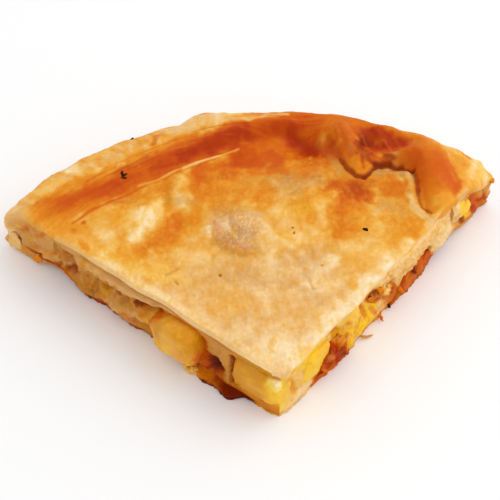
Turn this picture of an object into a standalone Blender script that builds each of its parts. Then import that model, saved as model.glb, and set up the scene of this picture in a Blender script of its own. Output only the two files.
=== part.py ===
"""Hand-cut slice of a round pie of thin dough stuffed with potato, a little over a quarter of the pan.

The pan's centre is at the slice's tip. Places in the slice are given from there, either as a radius and
a bearing, which is the angle from the slice's middle line, clockwise from above, or as x to the right and
y along the middle line. The finished slice is then moved so that the origin lies under its middle line,
on the flat underside. The thick end of the slice, with the rolled rim, is at +Y and the tip at -Y.
"""

import math

import bmesh
import bpy
import numpy as np
from mathutils import Euler, Vector

# The driving dimensions: the pan, the cut and the height of the pie.
PAN_RADIUS = 0.140
HALF_ANGLE = math.radians(46.5)
TOP_LEVEL = 0.0273
SHEET_THICKNESS = 0.0022
BASE_THICKNESS = 0.0022
GAP = 0.0003
MM = 0.001

# The tip is blunted to this radius, and the origin lies half way between the tip and the rim.
TIP_RADIUS = 0.004
ORIGIN_FROM_TIP = 0.5 * PAN_RADIUS

# The rolled rim takes over from the filled part at this radius and ends in a low outer edge.
ROLL_START = 0.785 * PAN_RADIUS
ROLL_WALL = 0.0008
RIM_FOOT_LEVEL = 0.0008
RIM_UNDERCUT_START = 0.86 * PAN_RADIUS

# The base lies flat up to here, and then rises into the arch that the rim stands beside.
BASE_FLAT_END = 0.66 * PAN_RADIUS
ARCH_HEIGHT = 0.0062
ARCH_END = 0.93 * PAN_RADIUS

# The folded band round the rim: its inner and outer edge and how far it stands above the sheet, in
# millimetres, each against the bearing in degrees.
BAND_INNER = ((-46.5, 107), (-40, 112), (-20, 111), (-10, 114), (-1, 119), (6, 126), (12, 125), (17, 120),
              (20, 109), (24, 104), (28, 109), (31, 117), (35, 118), (37, 111), (39, 103), (46.5, 98))
BAND_OUTER = ((-46.5, 129), (-35, 126), (-25, 123), (-12, 127), (0, 132), (12, 134), (34, 134), (40, 130),
              (44, 123), (46.5, 114))
BAND_LIFT = ((-46.5, 0.3), (-36, 1.8), (-20, 3.6), (-8, 5.6), (0, 6.4), (12, 5.6), (24, 6.2), (32, 6.0),
             (40, 4.3), (46.5, 1.4))

# Height of the rim's outer edge, its outward reach and how far its foot lies inward of it, in millimetres,
# each against the bearing in degrees.
RIM_LEVEL = ((-46.5, 18.5), (-43, 22), (-36, 24.2), (-20, 25), (-4, 25.4), (10, 24), (24, 24.5), (38, 25.5),
             (44, 23.5), (46.5, 17.5))
RIM_REACH = ((-46.5, 1.6), (-44, 0.2), (-40, 0.8), (-26, 1.2), (-11, 1), (-8, 4.6), (-6, 5.4), (-3, 3.6),
             (0, 0.6), (30, 0), (42, 2), (46.5, 5))
RIM_UNDERCUT = ((-46.5, 1), (-43, 3), (-37, 9.5), (38, 9.5), (43, 4), (46.5, -2))

# Folds of loose dough: a path of (x, y), the half width at its start and end, and the height, all in mm.
FOLDS = (
    ("tongue", ((42, 120), (43, 113), (44.6, 106), (46.6, 101)), 3.4, 5.4, 1.9),
    ("teardrop", ((76, 101), (77, 92), (76, 83), (74, 72)), 8.0, 5.0, 2.0),
    ("small fold", ((58, 102), (66, 104)), 2.6, 3.0, 1.1),
    ("lit edge", ((56, 119), (59.5, 114), (60, 108)), 1.4, 1.2, 0.8),
    ("torn edge", ((52, 97), (65, 96), (66, 86), (64, 80), (70, 69)), 1.8, 1.8, 0.8),
)

# Hollows and blisters of the top: centre (x, y), half sizes across and along, and height, all in mm.
SWELLS = (
    ("hollow by the tongue", 25, 118, 8, 9, -5.2),
    ("hollow behind the lobe", 53, 113, 5.5, 8, -5.0),
    ("deep fold", 64, 112, 7.5, 6, -4.4),
    ("gap before the small fold", 62, 100, 8, 2.5, -2.5),
    ("clear blister", -9, 70, 13, 15, 1.0),
    ("ochre blister", 19, 82, 9, 8, 0.9),
    ("pale crest", -43, 82, 5, 14, 0.9),
    ("short crest", -29, 98, 4, 9, 0.8),
    ("dip by the crest", -33, 78, 7, 9, -0.7),
    ("dip under the band", -48, 96, 12, 4, -0.8),
    ("brown dip", 42, 87, 8, 7, -0.7),
    ("low ground", 13, 48, 16, 14, -0.5),
    ("swell near the tip", 4, 26, 12, 12, 0.4),
)

# Relief of the two cut faces: distance from the tip, height, half sizes along and up, and how far the
# place stands out of the face, all in mm.
LEFT_FILLING = (
    ("hole between the potatoes", 30, 8.5, 3.6, 4.2, -6.5),
    ("draped dough", 25, 17, 3.5, 7.0, 1.2),
    ("crescent pocket", 63, 19, 6.0, 3.2, -5.5),
    ("lip under the pocket", 64, 12, 6.0, 2.5, 1.4),
    ("mashed lumps", 76, 8, 7.0, 5.0, 2.2),
    ("hollow over the lumps", 83, 14, 4.0, 2.5, -2.2),
    ("upright fold", 96, 15, 2.6, 8.0, 1.6),
    ("dark recess", 104, 16, 4.2, 4.0, -6.0),
)
RIGHT_FILLING = (
    ("crumbled potato", 42, 14, 8.0, 9.0, 1.2),
    ("hollow over the onion", 33, 19, 3.0, 3.0, -2.0),
    ("folded dough", 80, 19, 16.0, 4.0, 1.4),
    ("olive pocket", 94, 16.5, 5.0, 2.6, -3.0),
    ("slack dough", 104, 12, 5.0, 6.0, 1.2),
)
LEFT_RIM = (
    ("upper wrinkle", 118, 20, 8.0, 3.0, 1.2),
    ("groove", 122, 14.5, 9.0, 2.0, -2.6),
    ("lower roll", 124, 9, 9.0, 3.5, 1.2),
    ("split end", 135, 11, 3.0, 3.0, -2.4),
)
RIGHT_RIM = (
    ("pale fold", 114, 19, 7.0, 4.0, 1.0),
    ("brown groove", 127, 12, 5.0, 4.0, -2.4),
    ("lower lip", 130, 5, 8.0, 2.5, 1.2),
)
LEFT_BASE = (
    ("peeled flap", 21.5, 1, 4.5, 9.0, 4.2),
    ("root of the flap", 33, 1, 9.0, 9.0, 3.6),
)
RIGHT_BASE = (
    ("foot of the onion", 34, 1, 7.0, 6.0, 1.6),
    ("curled edge", 86, 5, 15.0, 9.0, 1.2),
)

# The base curls up along the right cut between these two distances from the tip, to this height.
CURL_FROM = 0.071
CURL_TO = 0.101
CURL_HEIGHT = 0.0125
CURL_DEPTH = 0.0045

# Potato and onion pieces at the cuts: the face, distance from the tip, height and depth of the centre,
# sizes along, in and up, all in mm, the tilt of the outer end in degrees, and the seed of the corners.
POTATOES = (
    ("potato_tip", "left", 10.8, 15.6, 3.2, (20, 11, 17.5), 3, 3),
    ("potato_left", "left", 47.0, 14.0, 4.6, (25.5, 24, 18.5), -12, 8),
    ("potato_right", "right", 19.3, 14.2, 5.2, (17.0, 14, 18.5), -20, 5),
    ("potato_rim", "right", 123.0, 14.5, 3.0, (9.0, 8.5, 8.0), 20, 7),
)
ONIONS = (
    ("onion_near", "right", 34.5, 8.6, 2.6, (20.5, 10.0, 13.5), -12, 11),
    ("onion_far", "right", 61.5, 17.2, 2.0, (24.0, 9.0, 7.0), -24, 13),
)

# How far behind a cut its relief reaches, and the ripple of the knife's cut.
RELIEF_DEPTH = 0.012
CUT_RIPPLE = 0.0005

# The mesh: columns along the radius, rows across the slice and layers upwards. The crust's columns stand
# closer together from the rim's inner wall outwards, where the folds are.
CRUST_RADII = np.concatenate([
    np.linspace(0.0, 0.82 * ROLL_START, 10),
    np.linspace(0.88 * ROLL_START, ROLL_START, 4) + GAP,
    np.linspace(ROLL_START + GAP + ROLL_WALL, PAN_RADIUS, 11),
])
CRUST_ROWS = 38
CRUST_LAYERS = 4
INSIDE_RADII = np.linspace(0.0, ROLL_START, 25)
INSIDE_BEARINGS = np.radians([-46.5, -45.2, -43, -38, -30, -20, -10, 0, 10, 20, 30, 38, 43, 45.2, 46.5])
INSIDE_LAYERS = 7


def smooth_step(value):
    """Zero below 0, one above 1, and a smooth rise between them."""
    share = np.clip(value, 0.0, 1.0)
    return share * share * (3.0 - 2.0 * share)


def read_table(table, bearing):
    """Value in metres of a table of (degrees, millimetres) at each bearing in radians."""
    degrees, millimetres = zip(*table)
    return np.interp(np.degrees(bearing), degrees, millimetres) * MM


def ripple(x, y, z, seed, size):
    """Gentle uneven waves about as long as size, between about -1 and 1."""
    draw = np.random.default_rng(seed)
    total = np.zeros_like(x)
    waves = 7
    for _ in range(waves):
        heading = draw.normal(size=3)
        heading *= 2.0 * math.pi / (size * draw.uniform(0.7, 1.6) * np.linalg.norm(heading))
        total += np.sin(heading[0] * x + heading[1] * y + heading[2] * z + draw.uniform(0, 2 * math.pi))
    return total / math.sqrt(waves)


def path_mound(x, y, path, start_width, end_width, height):
    """Rounded ridge along a path: it falls off with the distance from the nearest stretch."""
    mound = np.zeros_like(x)
    stretches = len(path) - 1
    for number in range(stretches):
        start = np.array(path[number]) * MM
        run = np.array(path[number + 1]) * MM - start
        share = np.clip(((x - start[0]) * run[0] + (y - start[1]) * run[1]) / run.dot(run), 0.0, 1.0)
        distance = np.hypot(x - start[0] - share * run[0], y - start[1] - share * run[1])
        width = (start_width + (end_width - start_width) * (number + share) / stretches) * MM
        rounded = np.sqrt(np.clip(1.0 - (distance / width) ** 2, 0.0, 1.0))
        mound = np.maximum(mound, height * MM * rounded)
    return mound


def top_surface(radius, bearing):
    """Height of the baked top: level sheet, folded band, loose folds, blisters and the rim's slope."""
    x = radius * np.sin(bearing)
    y = radius * np.cos(bearing)
    inner = read_table(BAND_INNER, bearing)
    outer = read_table(BAND_OUTER, bearing)
    lift = read_table(BAND_LIFT, bearing)
    across = (radius - inner) / (outer - inner)
    height = TOP_LEVEL + lift * smooth_step(across / 0.55)
    for _, x_mid, y_mid, x_half, y_half, rise in SWELLS:
        spread = ((x - x_mid * MM) / (x_half * MM)) ** 2 + ((y - y_mid * MM) / (y_half * MM)) ** 2
        height = height + rise * MM * np.exp(-spread)
    for _, path, start_width, end_width, rise in FOLDS:
        height = height + path_mound(x, y, path, start_width, end_width, rise)
    height = height + 0.3 * MM * ripple(x, y, 0.0 * x, 21, 0.024) * smooth_step(radius / 0.02)
    slope = np.clip((radius - outer) / (PAN_RADIUS - outer), 0.0, 1.0)
    return height + (read_table(RIM_LEVEL, bearing) - height) * slope ** 1.7


def base_underside(radius):
    """Underside of the base: flat on the table, then a smooth rise into the arch beside the rim."""
    return ARCH_HEIGHT * smooth_step((radius - BASE_FLAT_END) / (ROLL_START - BASE_FLAT_END))


def base_top(radius, bearing):
    """Upper side of the base, which curls up along a stretch of the right cut."""
    from_cut = radius * np.sin(HALF_ANGLE - bearing)
    along_cut = smooth_step((radius - CURL_FROM) / 0.008) * smooth_step((CURL_TO - radius) / 0.006)
    curl = (CURL_HEIGHT - BASE_THICKNESS) * along_cut * np.exp(-(from_cut / CURL_DEPTH) ** 2)
    return base_underside(radius) + BASE_THICKNESS + curl


def roll_underside(radius):
    """Underside of the top crust: level over the filling, then the inner wall and foot of the rim."""
    sheet = TOP_LEVEL - SHEET_THICKNESS
    arch = smooth_step((ARCH_END - radius) / (ARCH_END - ROLL_START))
    foot = RIM_FOOT_LEVEL + (ARCH_HEIGHT - RIM_FOOT_LEVEL) * arch
    wall = smooth_step((radius - ROLL_START - GAP) / ROLL_WALL)
    return sheet + (foot - sheet) * wall


def face_relief(along, height, places):
    """How far a cut face stands out at a distance from the tip and a height, from its named places."""
    out = np.zeros_like(along)
    for _, middle, level, half_along, half_up, rise in places:
        across = (along - middle * MM) / (half_along * MM)
        upward = (height - level * MM) / (half_up * MM)
        spread = across ** 2 + upward ** 2
        out = out + rise * MM * np.exp(-spread)
    return out


def place_in_slice(radius, bearing, height, left_places, right_places):
    """Points of the slice as x, y, z from the tip, with the relief of both cuts pushed into them."""
    x = radius * np.sin(bearing)
    y = radius * np.cos(bearing)
    for side, places in ((-1.0, left_places), (1.0, right_places)):
        depth = radius * np.sin(HALF_ANGLE - side * bearing)
        near = np.clip(1.0 - depth / RELIEF_DEPTH, 0.0, 1.0) ** 2
        out = face_relief(radius, height, places)
        out = out + CUT_RIPPLE * ripple(x, y, height, 31 + int(side), 0.017)
        push = near * out * smooth_step(radius / 0.012)
        x = x + push * side * math.cos(HALF_ANGLE)
        y = y - push * math.sin(HALF_ANGLE)
    return np.stack([x, y - ORIGIN_FROM_TIP, height], axis=1)


def tip_blunting(radius, bearing):
    """Radius with the sharp tip opened into a small rounded end."""
    blunt = TIP_RADIUS * (0.35 + 0.65 * (bearing / HALF_ANGLE) ** 2)
    return blunt + radius * (PAN_RADIUS - blunt) / PAN_RADIUS


def unit_block(columns, rows, layers):
    """Closed block of cells, one unit each way: a grid of faces drawn upwards layer by layer."""
    block = bmesh.new()
    bmesh.ops.create_grid(block, x_segments=columns, y_segments=rows, size=0.5)
    bmesh.ops.translate(block, verts=block.verts, vec=(0.5, 0.5, 0.0))
    skin = block.verts[:] + block.edges[:] + block.faces[:]
    for _ in range(layers):
        skin = bmesh.ops.extrude_face_region(block, geom=skin)["geom"]
        corners = [item for item in skin if isinstance(item, bmesh.types.BMVert)]
        bmesh.ops.translate(block, verts=corners, vec=(0.0, 0.0, 1.0 / layers))
    return block


def add_object(name, mesh_data, material, collection):
    """Named object of a finished mesh, closed and with its faces pointing out."""
    bmesh.ops.recalc_face_normals(mesh_data, faces=mesh_data.faces)
    if mesh_data.calc_volume(signed=True) < 0.0:
        bmesh.ops.reverse_faces(mesh_data, faces=mesh_data.faces)
    mesh = bpy.data.meshes.new(name)
    mesh_data.to_mesh(mesh)
    mesh_data.free()
    mesh.shade_smooth()
    if material is not None:
        mesh.materials.append(material)
    made = bpy.data.objects.new(name, mesh)
    collection.objects.link(made)
    return made


def bend_block(block, shape):
    """Move the corners of a unit block to the places that a shape function gives for them."""
    shares = np.array([corner.co[:] for corner in block.verts])
    places = shape(shares[:, 0], shares[:, 1], shares[:, 2])
    for corner, place in zip(block.verts, places):
        corner.co = place


def crust_shape(column_share, row_share, layer_share):
    """Top crust: the baked top above, the level underside and the rim's foot below, the walls between."""
    steps = np.linspace(0.0, 1.0, len(CRUST_RADII))
    flat_radius = np.interp(column_share, steps, CRUST_RADII)
    bearing = (2.0 * row_share - 1.0) * HALF_ANGLE
    radius = tip_blunting(flat_radius, bearing)
    top = top_surface(radius, bearing)
    under = roll_underside(flat_radius)
    height = under + (top - under) * layer_share
    undercut = read_table(RIM_UNDERCUT, bearing) * (1.0 - np.sin(0.5 * math.pi * layer_share ** 0.7))
    towards_edge = smooth_step((radius - RIM_UNDERCUT_START) / (PAN_RADIUS - RIM_UNDERCUT_START))
    x = radius * np.sin(bearing)
    y = radius * np.cos(bearing)
    ragged = 1.6 * MM * ripple(x, y, 3.0 * height, 41, 0.013) * (1.0 - 0.6 * layer_share)
    reach = read_table(RIM_REACH, bearing)
    radius = radius - undercut * towards_edge + (ragged + reach) * towards_edge ** 3
    return place_in_slice(radius, bearing, height, LEFT_RIM, RIGHT_RIM)


def inside_shape(lower, upper, left_places, right_places):
    """Shape function of a layer between two height functions of radius and bearing."""
    def shape(column_share, row_share, layer_share):
        radius = np.interp(column_share, np.linspace(0.0, 1.0, len(INSIDE_RADII)), INSIDE_RADII)
        bearing = np.interp(row_share, np.linspace(0.0, 1.0, len(INSIDE_BEARINGS)), INSIDE_BEARINGS)
        bottom = lower(radius, bearing)
        height = bottom + (upper(radius, bearing) - bottom) * layer_share
        return place_in_slice(tip_blunting(radius, bearing), bearing, height, left_places, right_places)
    return shape


def make_crust_top(material, collection):
    """The baked sheet on top, with its folded band, and the rolled rim in one piece with it."""
    block = unit_block(len(CRUST_RADII) - 1, CRUST_ROWS, CRUST_LAYERS)
    bend_block(block, crust_shape)
    return add_object("crust_top", block, material, collection)


def make_filling(material, collection):
    """Mashed potato and soft dough that run through the slice between the two crusts."""
    block = unit_block(len(INSIDE_RADII) - 1, len(INSIDE_BEARINGS) - 1, INSIDE_LAYERS)
    ceiling = TOP_LEVEL - SHEET_THICKNESS - GAP
    bend_block(block, inside_shape(
        lambda radius, bearing: base_top(radius, bearing) + GAP,
        lambda radius, bearing: np.full_like(radius, ceiling),
        LEFT_FILLING,
        RIGHT_FILLING,
    ))
    return add_object("filling", block, material, collection)


def make_crust_bottom(material, collection):
    """The browned sheet below, with its peeled flap and its curled edge."""
    block = unit_block(len(INSIDE_RADII) - 1, len(INSIDE_BEARINGS) - 1, 1)
    bend_block(block, inside_shape(
        lambda radius, bearing: base_underside(radius),
        base_top,
        LEFT_BASE,
        RIGHT_BASE,
    ))
    return add_object("crust_bottom", block, material, collection)


def on_face(face, along, depth, height):
    """Point at a distance from the tip along a cut, a depth behind the cut and a height."""
    side = -1.0 if face == "left" else 1.0
    x = side * along * math.sin(HALF_ANGLE) - side * depth * math.cos(HALF_ANGLE)
    y = along * math.cos(HALF_ANGLE) + depth * math.sin(HALF_ANGLE)
    return Vector((x, y - ORIGIN_FROM_TIP, height))


def make_chunk(entry, crease, unevenness, material, collection):
    """Knife-cut piece: a box with uneven corners, softened by subdivision, set behind its cut face."""
    name, face, along, height, depth, size, tilt, seed = entry
    draw = np.random.default_rng(seed)
    side = -1.0 if face == "left" else 1.0
    box = bmesh.new()
    bmesh.ops.create_cube(box, size=1.0)
    for corner in box.verts:
        shift = draw.uniform(-unevenness, unevenness, 3)
        corner.co = Vector([(corner.co[axis] + shift[axis]) * size[axis] * MM for axis in range(3)])
    crease_layer = box.edges.layers.float.new("crease_edge")
    for edge in box.edges:
        edge[crease_layer] = crease
    turn_to_face = Euler((0.0, 0.0, side * (math.pi / 2 - HALF_ANGLE)))
    lean = Euler((0.0, -side * math.radians(tilt), 0.0))
    bmesh.ops.rotate(box, verts=box.verts, cent=(0, 0, 0), matrix=lean.to_matrix())
    bmesh.ops.rotate(box, verts=box.verts, cent=(0, 0, 0), matrix=turn_to_face.to_matrix())
    made = add_object(name, box, material, collection)
    made.location = on_face(face, along * MM, depth * MM, height * MM)
    rounding = made.modifiers.new("rounding", "SUBSURF")
    rounding.levels = 2
    rounding.render_levels = 2
    return made


def cut_pocket(host, piece, cutters):
    """Hollow in a host that holds a piece with a small gap all round."""
    cutter = bpy.data.objects.new(piece.name + "_pocket", piece.data)
    cutter.location = piece.location
    cutters.objects.link(cutter)
    rounding = cutter.modifiers.new("rounding", "SUBSURF")
    rounding.levels = 2
    rounding.render_levels = 2
    swelling = cutter.modifiers.new("swelling", "DISPLACE")
    swelling.mid_level = 0.0
    swelling.strength = 1.5 * GAP
    cutter.hide_render = True
    cutter.display_type = "WIRE"
    pocket = host.modifiers.new(piece.name + "_pocket", "BOOLEAN")
    pocket.operation = "DIFFERENCE"
    pocket.object = cutter
    pocket.solver = "EXACT"


def make_material(name, colour, roughness):
    """Plain Principled finish of one food."""
    material = bpy.data.materials.new(name)
    material.use_nodes = True
    shader = material.node_tree.nodes["Principled BSDF"]
    shader.inputs["Base Color"].default_value = (*colour, 1.0)
    shader.inputs["Roughness"].default_value = roughness
    shader.inputs["Metallic"].default_value = 0.0
    return material


def make_collection(name):
    """New collection linked to the scene."""
    collection = bpy.data.collections.new(name)
    bpy.context.scene.collection.children.link(collection)
    return collection


def build():
    """Clear the scene and make every piece of the slice."""
    for leftover in list(bpy.data.objects):
        bpy.data.objects.remove(leftover)
    pieces = make_collection("potato_pie_slice")
    cutters = make_collection("cutters")

    golden = make_material("golden_crust", (0.72, 0.33, 0.07), 0.38)
    browned = make_material("browned_crust", (0.30, 0.07, 0.015), 0.45)
    mash = make_material("potato_mash", (0.72, 0.42, 0.10), 0.55)
    potato = make_material("potato_flesh", (0.85, 0.50, 0.05), 0.40)
    onion = make_material("browned_onion", (0.38, 0.10, 0.02), 0.45)

    crust_top = make_crust_top(golden, pieces)
    filling = make_filling(mash, pieces)
    crust_bottom = make_crust_bottom(browned, pieces)
    chunks = {entry[0]: make_chunk(entry, 0.45, 0.08, potato, pieces) for entry in POTATOES}
    chunks.update({entry[0]: make_chunk(entry, 0.25, 0.14, onion, pieces) for entry in ONIONS})
    for name, piece in chunks.items():
        cut_pocket(crust_top if name == "potato_rim" else filling, piece, cutters)
    cut_pocket(crust_bottom, chunks["potato_left"], cutters)
    cut_pocket(crust_bottom, chunks["onion_near"], cutters)
    cut_pocket(chunks["onion_near"], chunks["potato_right"], cutters)


build()
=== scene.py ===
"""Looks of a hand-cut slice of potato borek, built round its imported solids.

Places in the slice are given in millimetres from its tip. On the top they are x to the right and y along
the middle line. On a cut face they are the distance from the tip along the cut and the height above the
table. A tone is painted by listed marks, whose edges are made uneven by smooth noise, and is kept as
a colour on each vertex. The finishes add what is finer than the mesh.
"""

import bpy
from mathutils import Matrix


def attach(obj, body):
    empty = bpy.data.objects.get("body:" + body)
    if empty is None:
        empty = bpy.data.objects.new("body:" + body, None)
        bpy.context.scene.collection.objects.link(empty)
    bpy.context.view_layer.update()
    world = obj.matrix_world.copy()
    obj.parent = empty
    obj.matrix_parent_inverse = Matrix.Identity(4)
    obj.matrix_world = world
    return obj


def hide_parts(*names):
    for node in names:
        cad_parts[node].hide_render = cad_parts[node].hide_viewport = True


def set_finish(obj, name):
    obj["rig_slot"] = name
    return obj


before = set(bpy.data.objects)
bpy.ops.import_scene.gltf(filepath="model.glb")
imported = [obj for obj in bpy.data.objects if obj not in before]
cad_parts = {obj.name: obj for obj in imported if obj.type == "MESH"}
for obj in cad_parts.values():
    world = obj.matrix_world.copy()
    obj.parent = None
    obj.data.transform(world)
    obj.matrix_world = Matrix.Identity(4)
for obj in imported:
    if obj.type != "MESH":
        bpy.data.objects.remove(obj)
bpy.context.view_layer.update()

import logging
import math
from dataclasses import dataclass, field
from enum import Enum

import bmesh
import bpy
import numpy as np
from mathutils import Vector

LOG = logging.getLogger("potato_borek")
MM = 0.001

# The pan, the cut and the heights of the pie, as in the solids.
PAN_RADIUS = 0.140
HALF_DEGREES = 46.5
HALF_ANGLE = math.radians(HALF_DEGREES)
TOP_LEVEL = 0.0273
SHEET_THICKNESS = 0.0022
BASE_THICKNESS = 0.0022
TIP_RADIUS = 0.004
ORIGIN_FROM_TIP = 0.5 * PAN_RADIUS
ROLL_START = 0.785 * PAN_RADIUS
ROLL_WALL = 0.0008
RIM_FOOT_LEVEL = 0.0008
RIM_UNDERCUT_START = 0.86 * PAN_RADIUS
BASE_FLAT_END = 0.66 * PAN_RADIUS
ARCH_HEIGHT = 0.0062
ARCH_END = 0.93 * PAN_RADIUS
RELIEF_DEPTH = 0.012
TIP_FADE = 0.012
CUT_RIPPLE = 0.0005
CURL_FROM = 0.071
CURL_TO = 0.101
CURL_HEIGHT = 0.0125
CURL_DEPTH = 0.0045

# Width of a soft mark's border, as a share of its half size.
SOFT_EDGE = 1.3

# The band and the rim against the bearing: (degrees, millimetres), as in the solids.
BAND_INNER = ((-46.5, 107), (-40, 112), (-20, 111), (-10, 114), (-1, 119), (6, 126), (12, 125), (17, 120),
              (20, 109), (24, 104), (28, 109), (31, 117), (35, 118), (37, 111), (39, 103), (46.5, 98))
BAND_OUTER = ((-46.5, 129), (-35, 126), (-25, 123), (-12, 127), (0, 132), (12, 134), (34, 134), (40, 130),
              (44, 123), (46.5, 114))
BAND_LIFT = ((-46.5, 0.3), (-36, 1.8), (-20, 3.6), (-8, 5.6), (0, 6.4), (12, 5.6), (24, 6.2), (32, 6.0),
             (40, 4.3), (46.5, 1.4))
RIM_LEVEL = ((-46.5, 18.5), (-43, 22), (-36, 24.2), (-20, 25), (-4, 25.4), (10, 24), (24, 24.5), (38, 25.5),
             (44, 23.5), (46.5, 17.5))
RIM_REACH = ((-46.5, 1.6), (-44, 0.2), (-40, 0.8), (-26, 1.2), (-11, 1), (-8, 4.6), (-6, 5.4), (-3, 3.6),
             (0, 0.6), (30, 0), (42, 2), (46.5, 5))
RIM_UNDERCUT = ((-46.5, 1), (-43, 3), (-37, 9.5), (38, 9.5), (43, 4), (46.5, -2))

# Loose folds: path, half width at both ends, height. Swells: centre, half sizes, height.
FOLDS = (
    (((42, 120), (43, 113), (44.6, 106), (46.6, 101)), 3.4, 5.4, 1.9),
    (((76, 101), (77, 92), (76, 83), (74, 72)), 8.0, 5.0, 2.0),
    (((58, 102), (66, 104)), 2.6, 3.0, 1.1),
    (((56, 119), (59.5, 114), (60, 108)), 1.4, 1.2, 0.8),
    (((52, 97), (65, 96), (66, 86), (64, 80), (70, 69)), 1.8, 1.8, 0.8),
)
SWELLS = (
    (25, 118, 8, 9, -5.2), (53, 113, 5.5, 8, -5.0), (64, 112, 7.5, 6, -4.4), (62, 100, 8, 2.5, -2.5),
    (-9, 70, 13, 15, 1.0), (19, 82, 9, 8, 0.9), (-43, 82, 5, 14, 0.9), (-29, 98, 4, 9, 0.8),
    (-33, 78, 7, 9, -0.7), (-48, 96, 12, 4, -0.8), (42, 87, 8, 7, -0.7), (13, 48, 16, 14, -0.5),
    (4, 26, 12, 12, 0.4),
)

# Relief of the cut faces: distance from the tip, height, half sizes along and up, how far it stands out.
LEFT_FILLING = (
    (30, 8.5, 3.6, 4.2, -6.5), (25, 17, 3.5, 7.0, 1.2), (63, 19, 6.0, 3.2, -5.5), (64, 12, 6.0, 2.5, 1.4),
    (76, 8, 7.0, 5.0, 2.2), (83, 14, 4.0, 2.5, -2.2), (96, 15, 2.6, 8.0, 1.6), (104, 16, 4.2, 4.0, -6.0),
)
RIGHT_FILLING = (
    (42, 14, 8.0, 9.0, 1.2), (33, 19, 3.0, 3.0, -2.0), (80, 19, 16.0, 4.0, 1.4), (94, 16.5, 5.0, 2.6, -3.0),
    (104, 12, 5.0, 6.0, 1.2),
)
LEFT_RIM = ((118, 20, 8.0, 3.0, 1.2), (122, 14.5, 9.0, 2.0, -2.6), (124, 9, 9.0, 3.5, 1.2),
            (135, 11, 3.0, 3.0, -2.4))
RIGHT_RIM = ((114, 19, 7.0, 4.0, 1.0), (127, 12, 5.0, 4.0, -2.4), (130, 5, 8.0, 2.5, 1.2))
LEFT_BASE = ((21.5, 1, 4.5, 9.0, 4.2), (33, 1, 9.0, 9.0, 3.6))
RIGHT_BASE = ((34, 1, 7.0, 6.0, 1.6), (86, 5, 15.0, 9.0, 1.2))


class Tone(Enum):
    """Colours of the slice as display red, green and blue, 0 to 255."""

    CREAM = (250, 226, 186)
    PALE = (246, 210, 152)
    SAND = (230, 176, 104)
    GOLD = (234, 164, 62)
    STRAW = (244, 190, 88)
    AMBER = (224, 134, 22)
    ORANGE = (212, 108, 12)
    RUSSET = (208, 90, 8)
    BRICK = (176, 54, 5)
    UMBER = (124, 38, 3)
    CHAR = (44, 22, 12)
    GREYTAN = (204, 148, 84)
    BLISTER = (188, 146, 98)
    OLIVE = (186, 122, 34)
    YELLOW = (250, 198, 26)
    OCHRE = (214, 142, 8)
    MASH = (190, 120, 30)
    DOUGH = (206, 142, 66)
    FILM = (236, 190, 122)
    ROSE = (204, 124, 76)
    WINE = (90, 20, 2)

    @property
    def linear(self) -> np.ndarray:
        """The tone as linear red, green and blue."""
        return to_linear(np.array(self.value) / 255.0)

    @property
    def glaze(self) -> np.ndarray:
        """Logarithm of the linear tone."""
        return np.log(self.linear)


(CREAM, PALE, SAND, GOLD, STRAW, AMBER, ORANGE, RUSSET, BRICK, UMBER, CHAR, GREYTAN, BLISTER, OLIVE, YELLOW,
 OCHRE, MASH, DOUGH, FILM, ROSE, WINE) = Tone


class Side(Enum):
    """The two cut faces, seen from the tip towards the rim."""

    LEFT = -1.0
    RIGHT = 1.0


def to_linear(display: np.ndarray) -> np.ndarray:
    """Turn display colour values between 0 and 1 into linear ones.

    Args:
        display: Values as a screen shows them.

    Returns:
        The linear values: a straight part below 0.04045 and a power of 2.4 above it.
    """
    return np.where(display <= 0.04045, display / 12.92, ((display + 0.055) / 1.055) ** 2.4)


def smooth_step(value: np.ndarray) -> np.ndarray:
    """Zero below 0, one above 1, and the smooth rise 3 v^2 - 2 v^3 between them."""
    share = np.clip(value, 0.0, 1.0)
    return share * share * (3.0 - 2.0 * share)


def read_table(table: tuple, bearing: np.ndarray) -> np.ndarray:
    """Value in metres of a table of (degrees, millimetres) at each bearing in radians."""
    degrees, millimetres = zip(*table)
    return np.interp(np.degrees(bearing), degrees, millimetres) * MM


def ripple(x: np.ndarray, y: np.ndarray, z: np.ndarray, seed: int, size: float) -> np.ndarray:
    """Sum of seven sine waves with drawn headings, as in the solids.

    Args:
        x: First coordinate in metres.
        y: Second coordinate in metres.
        z: Third coordinate in metres.
        seed: Seed of the headings.
        size: Usual length of a wave in metres.

    Returns:
        Values between about -1 and 1.
    """
    draw = np.random.default_rng(seed)
    total = np.zeros_like(x)
    waves = 7
    for _ in range(waves):
        heading = draw.normal(size=3)
        heading *= 2.0 * math.pi / (size * draw.uniform(0.7, 1.6) * np.linalg.norm(heading))
        total += np.sin(heading[0] * x + heading[1] * y + heading[2] * z + draw.uniform(0, 2 * math.pi))
    return total / math.sqrt(waves)


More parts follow.
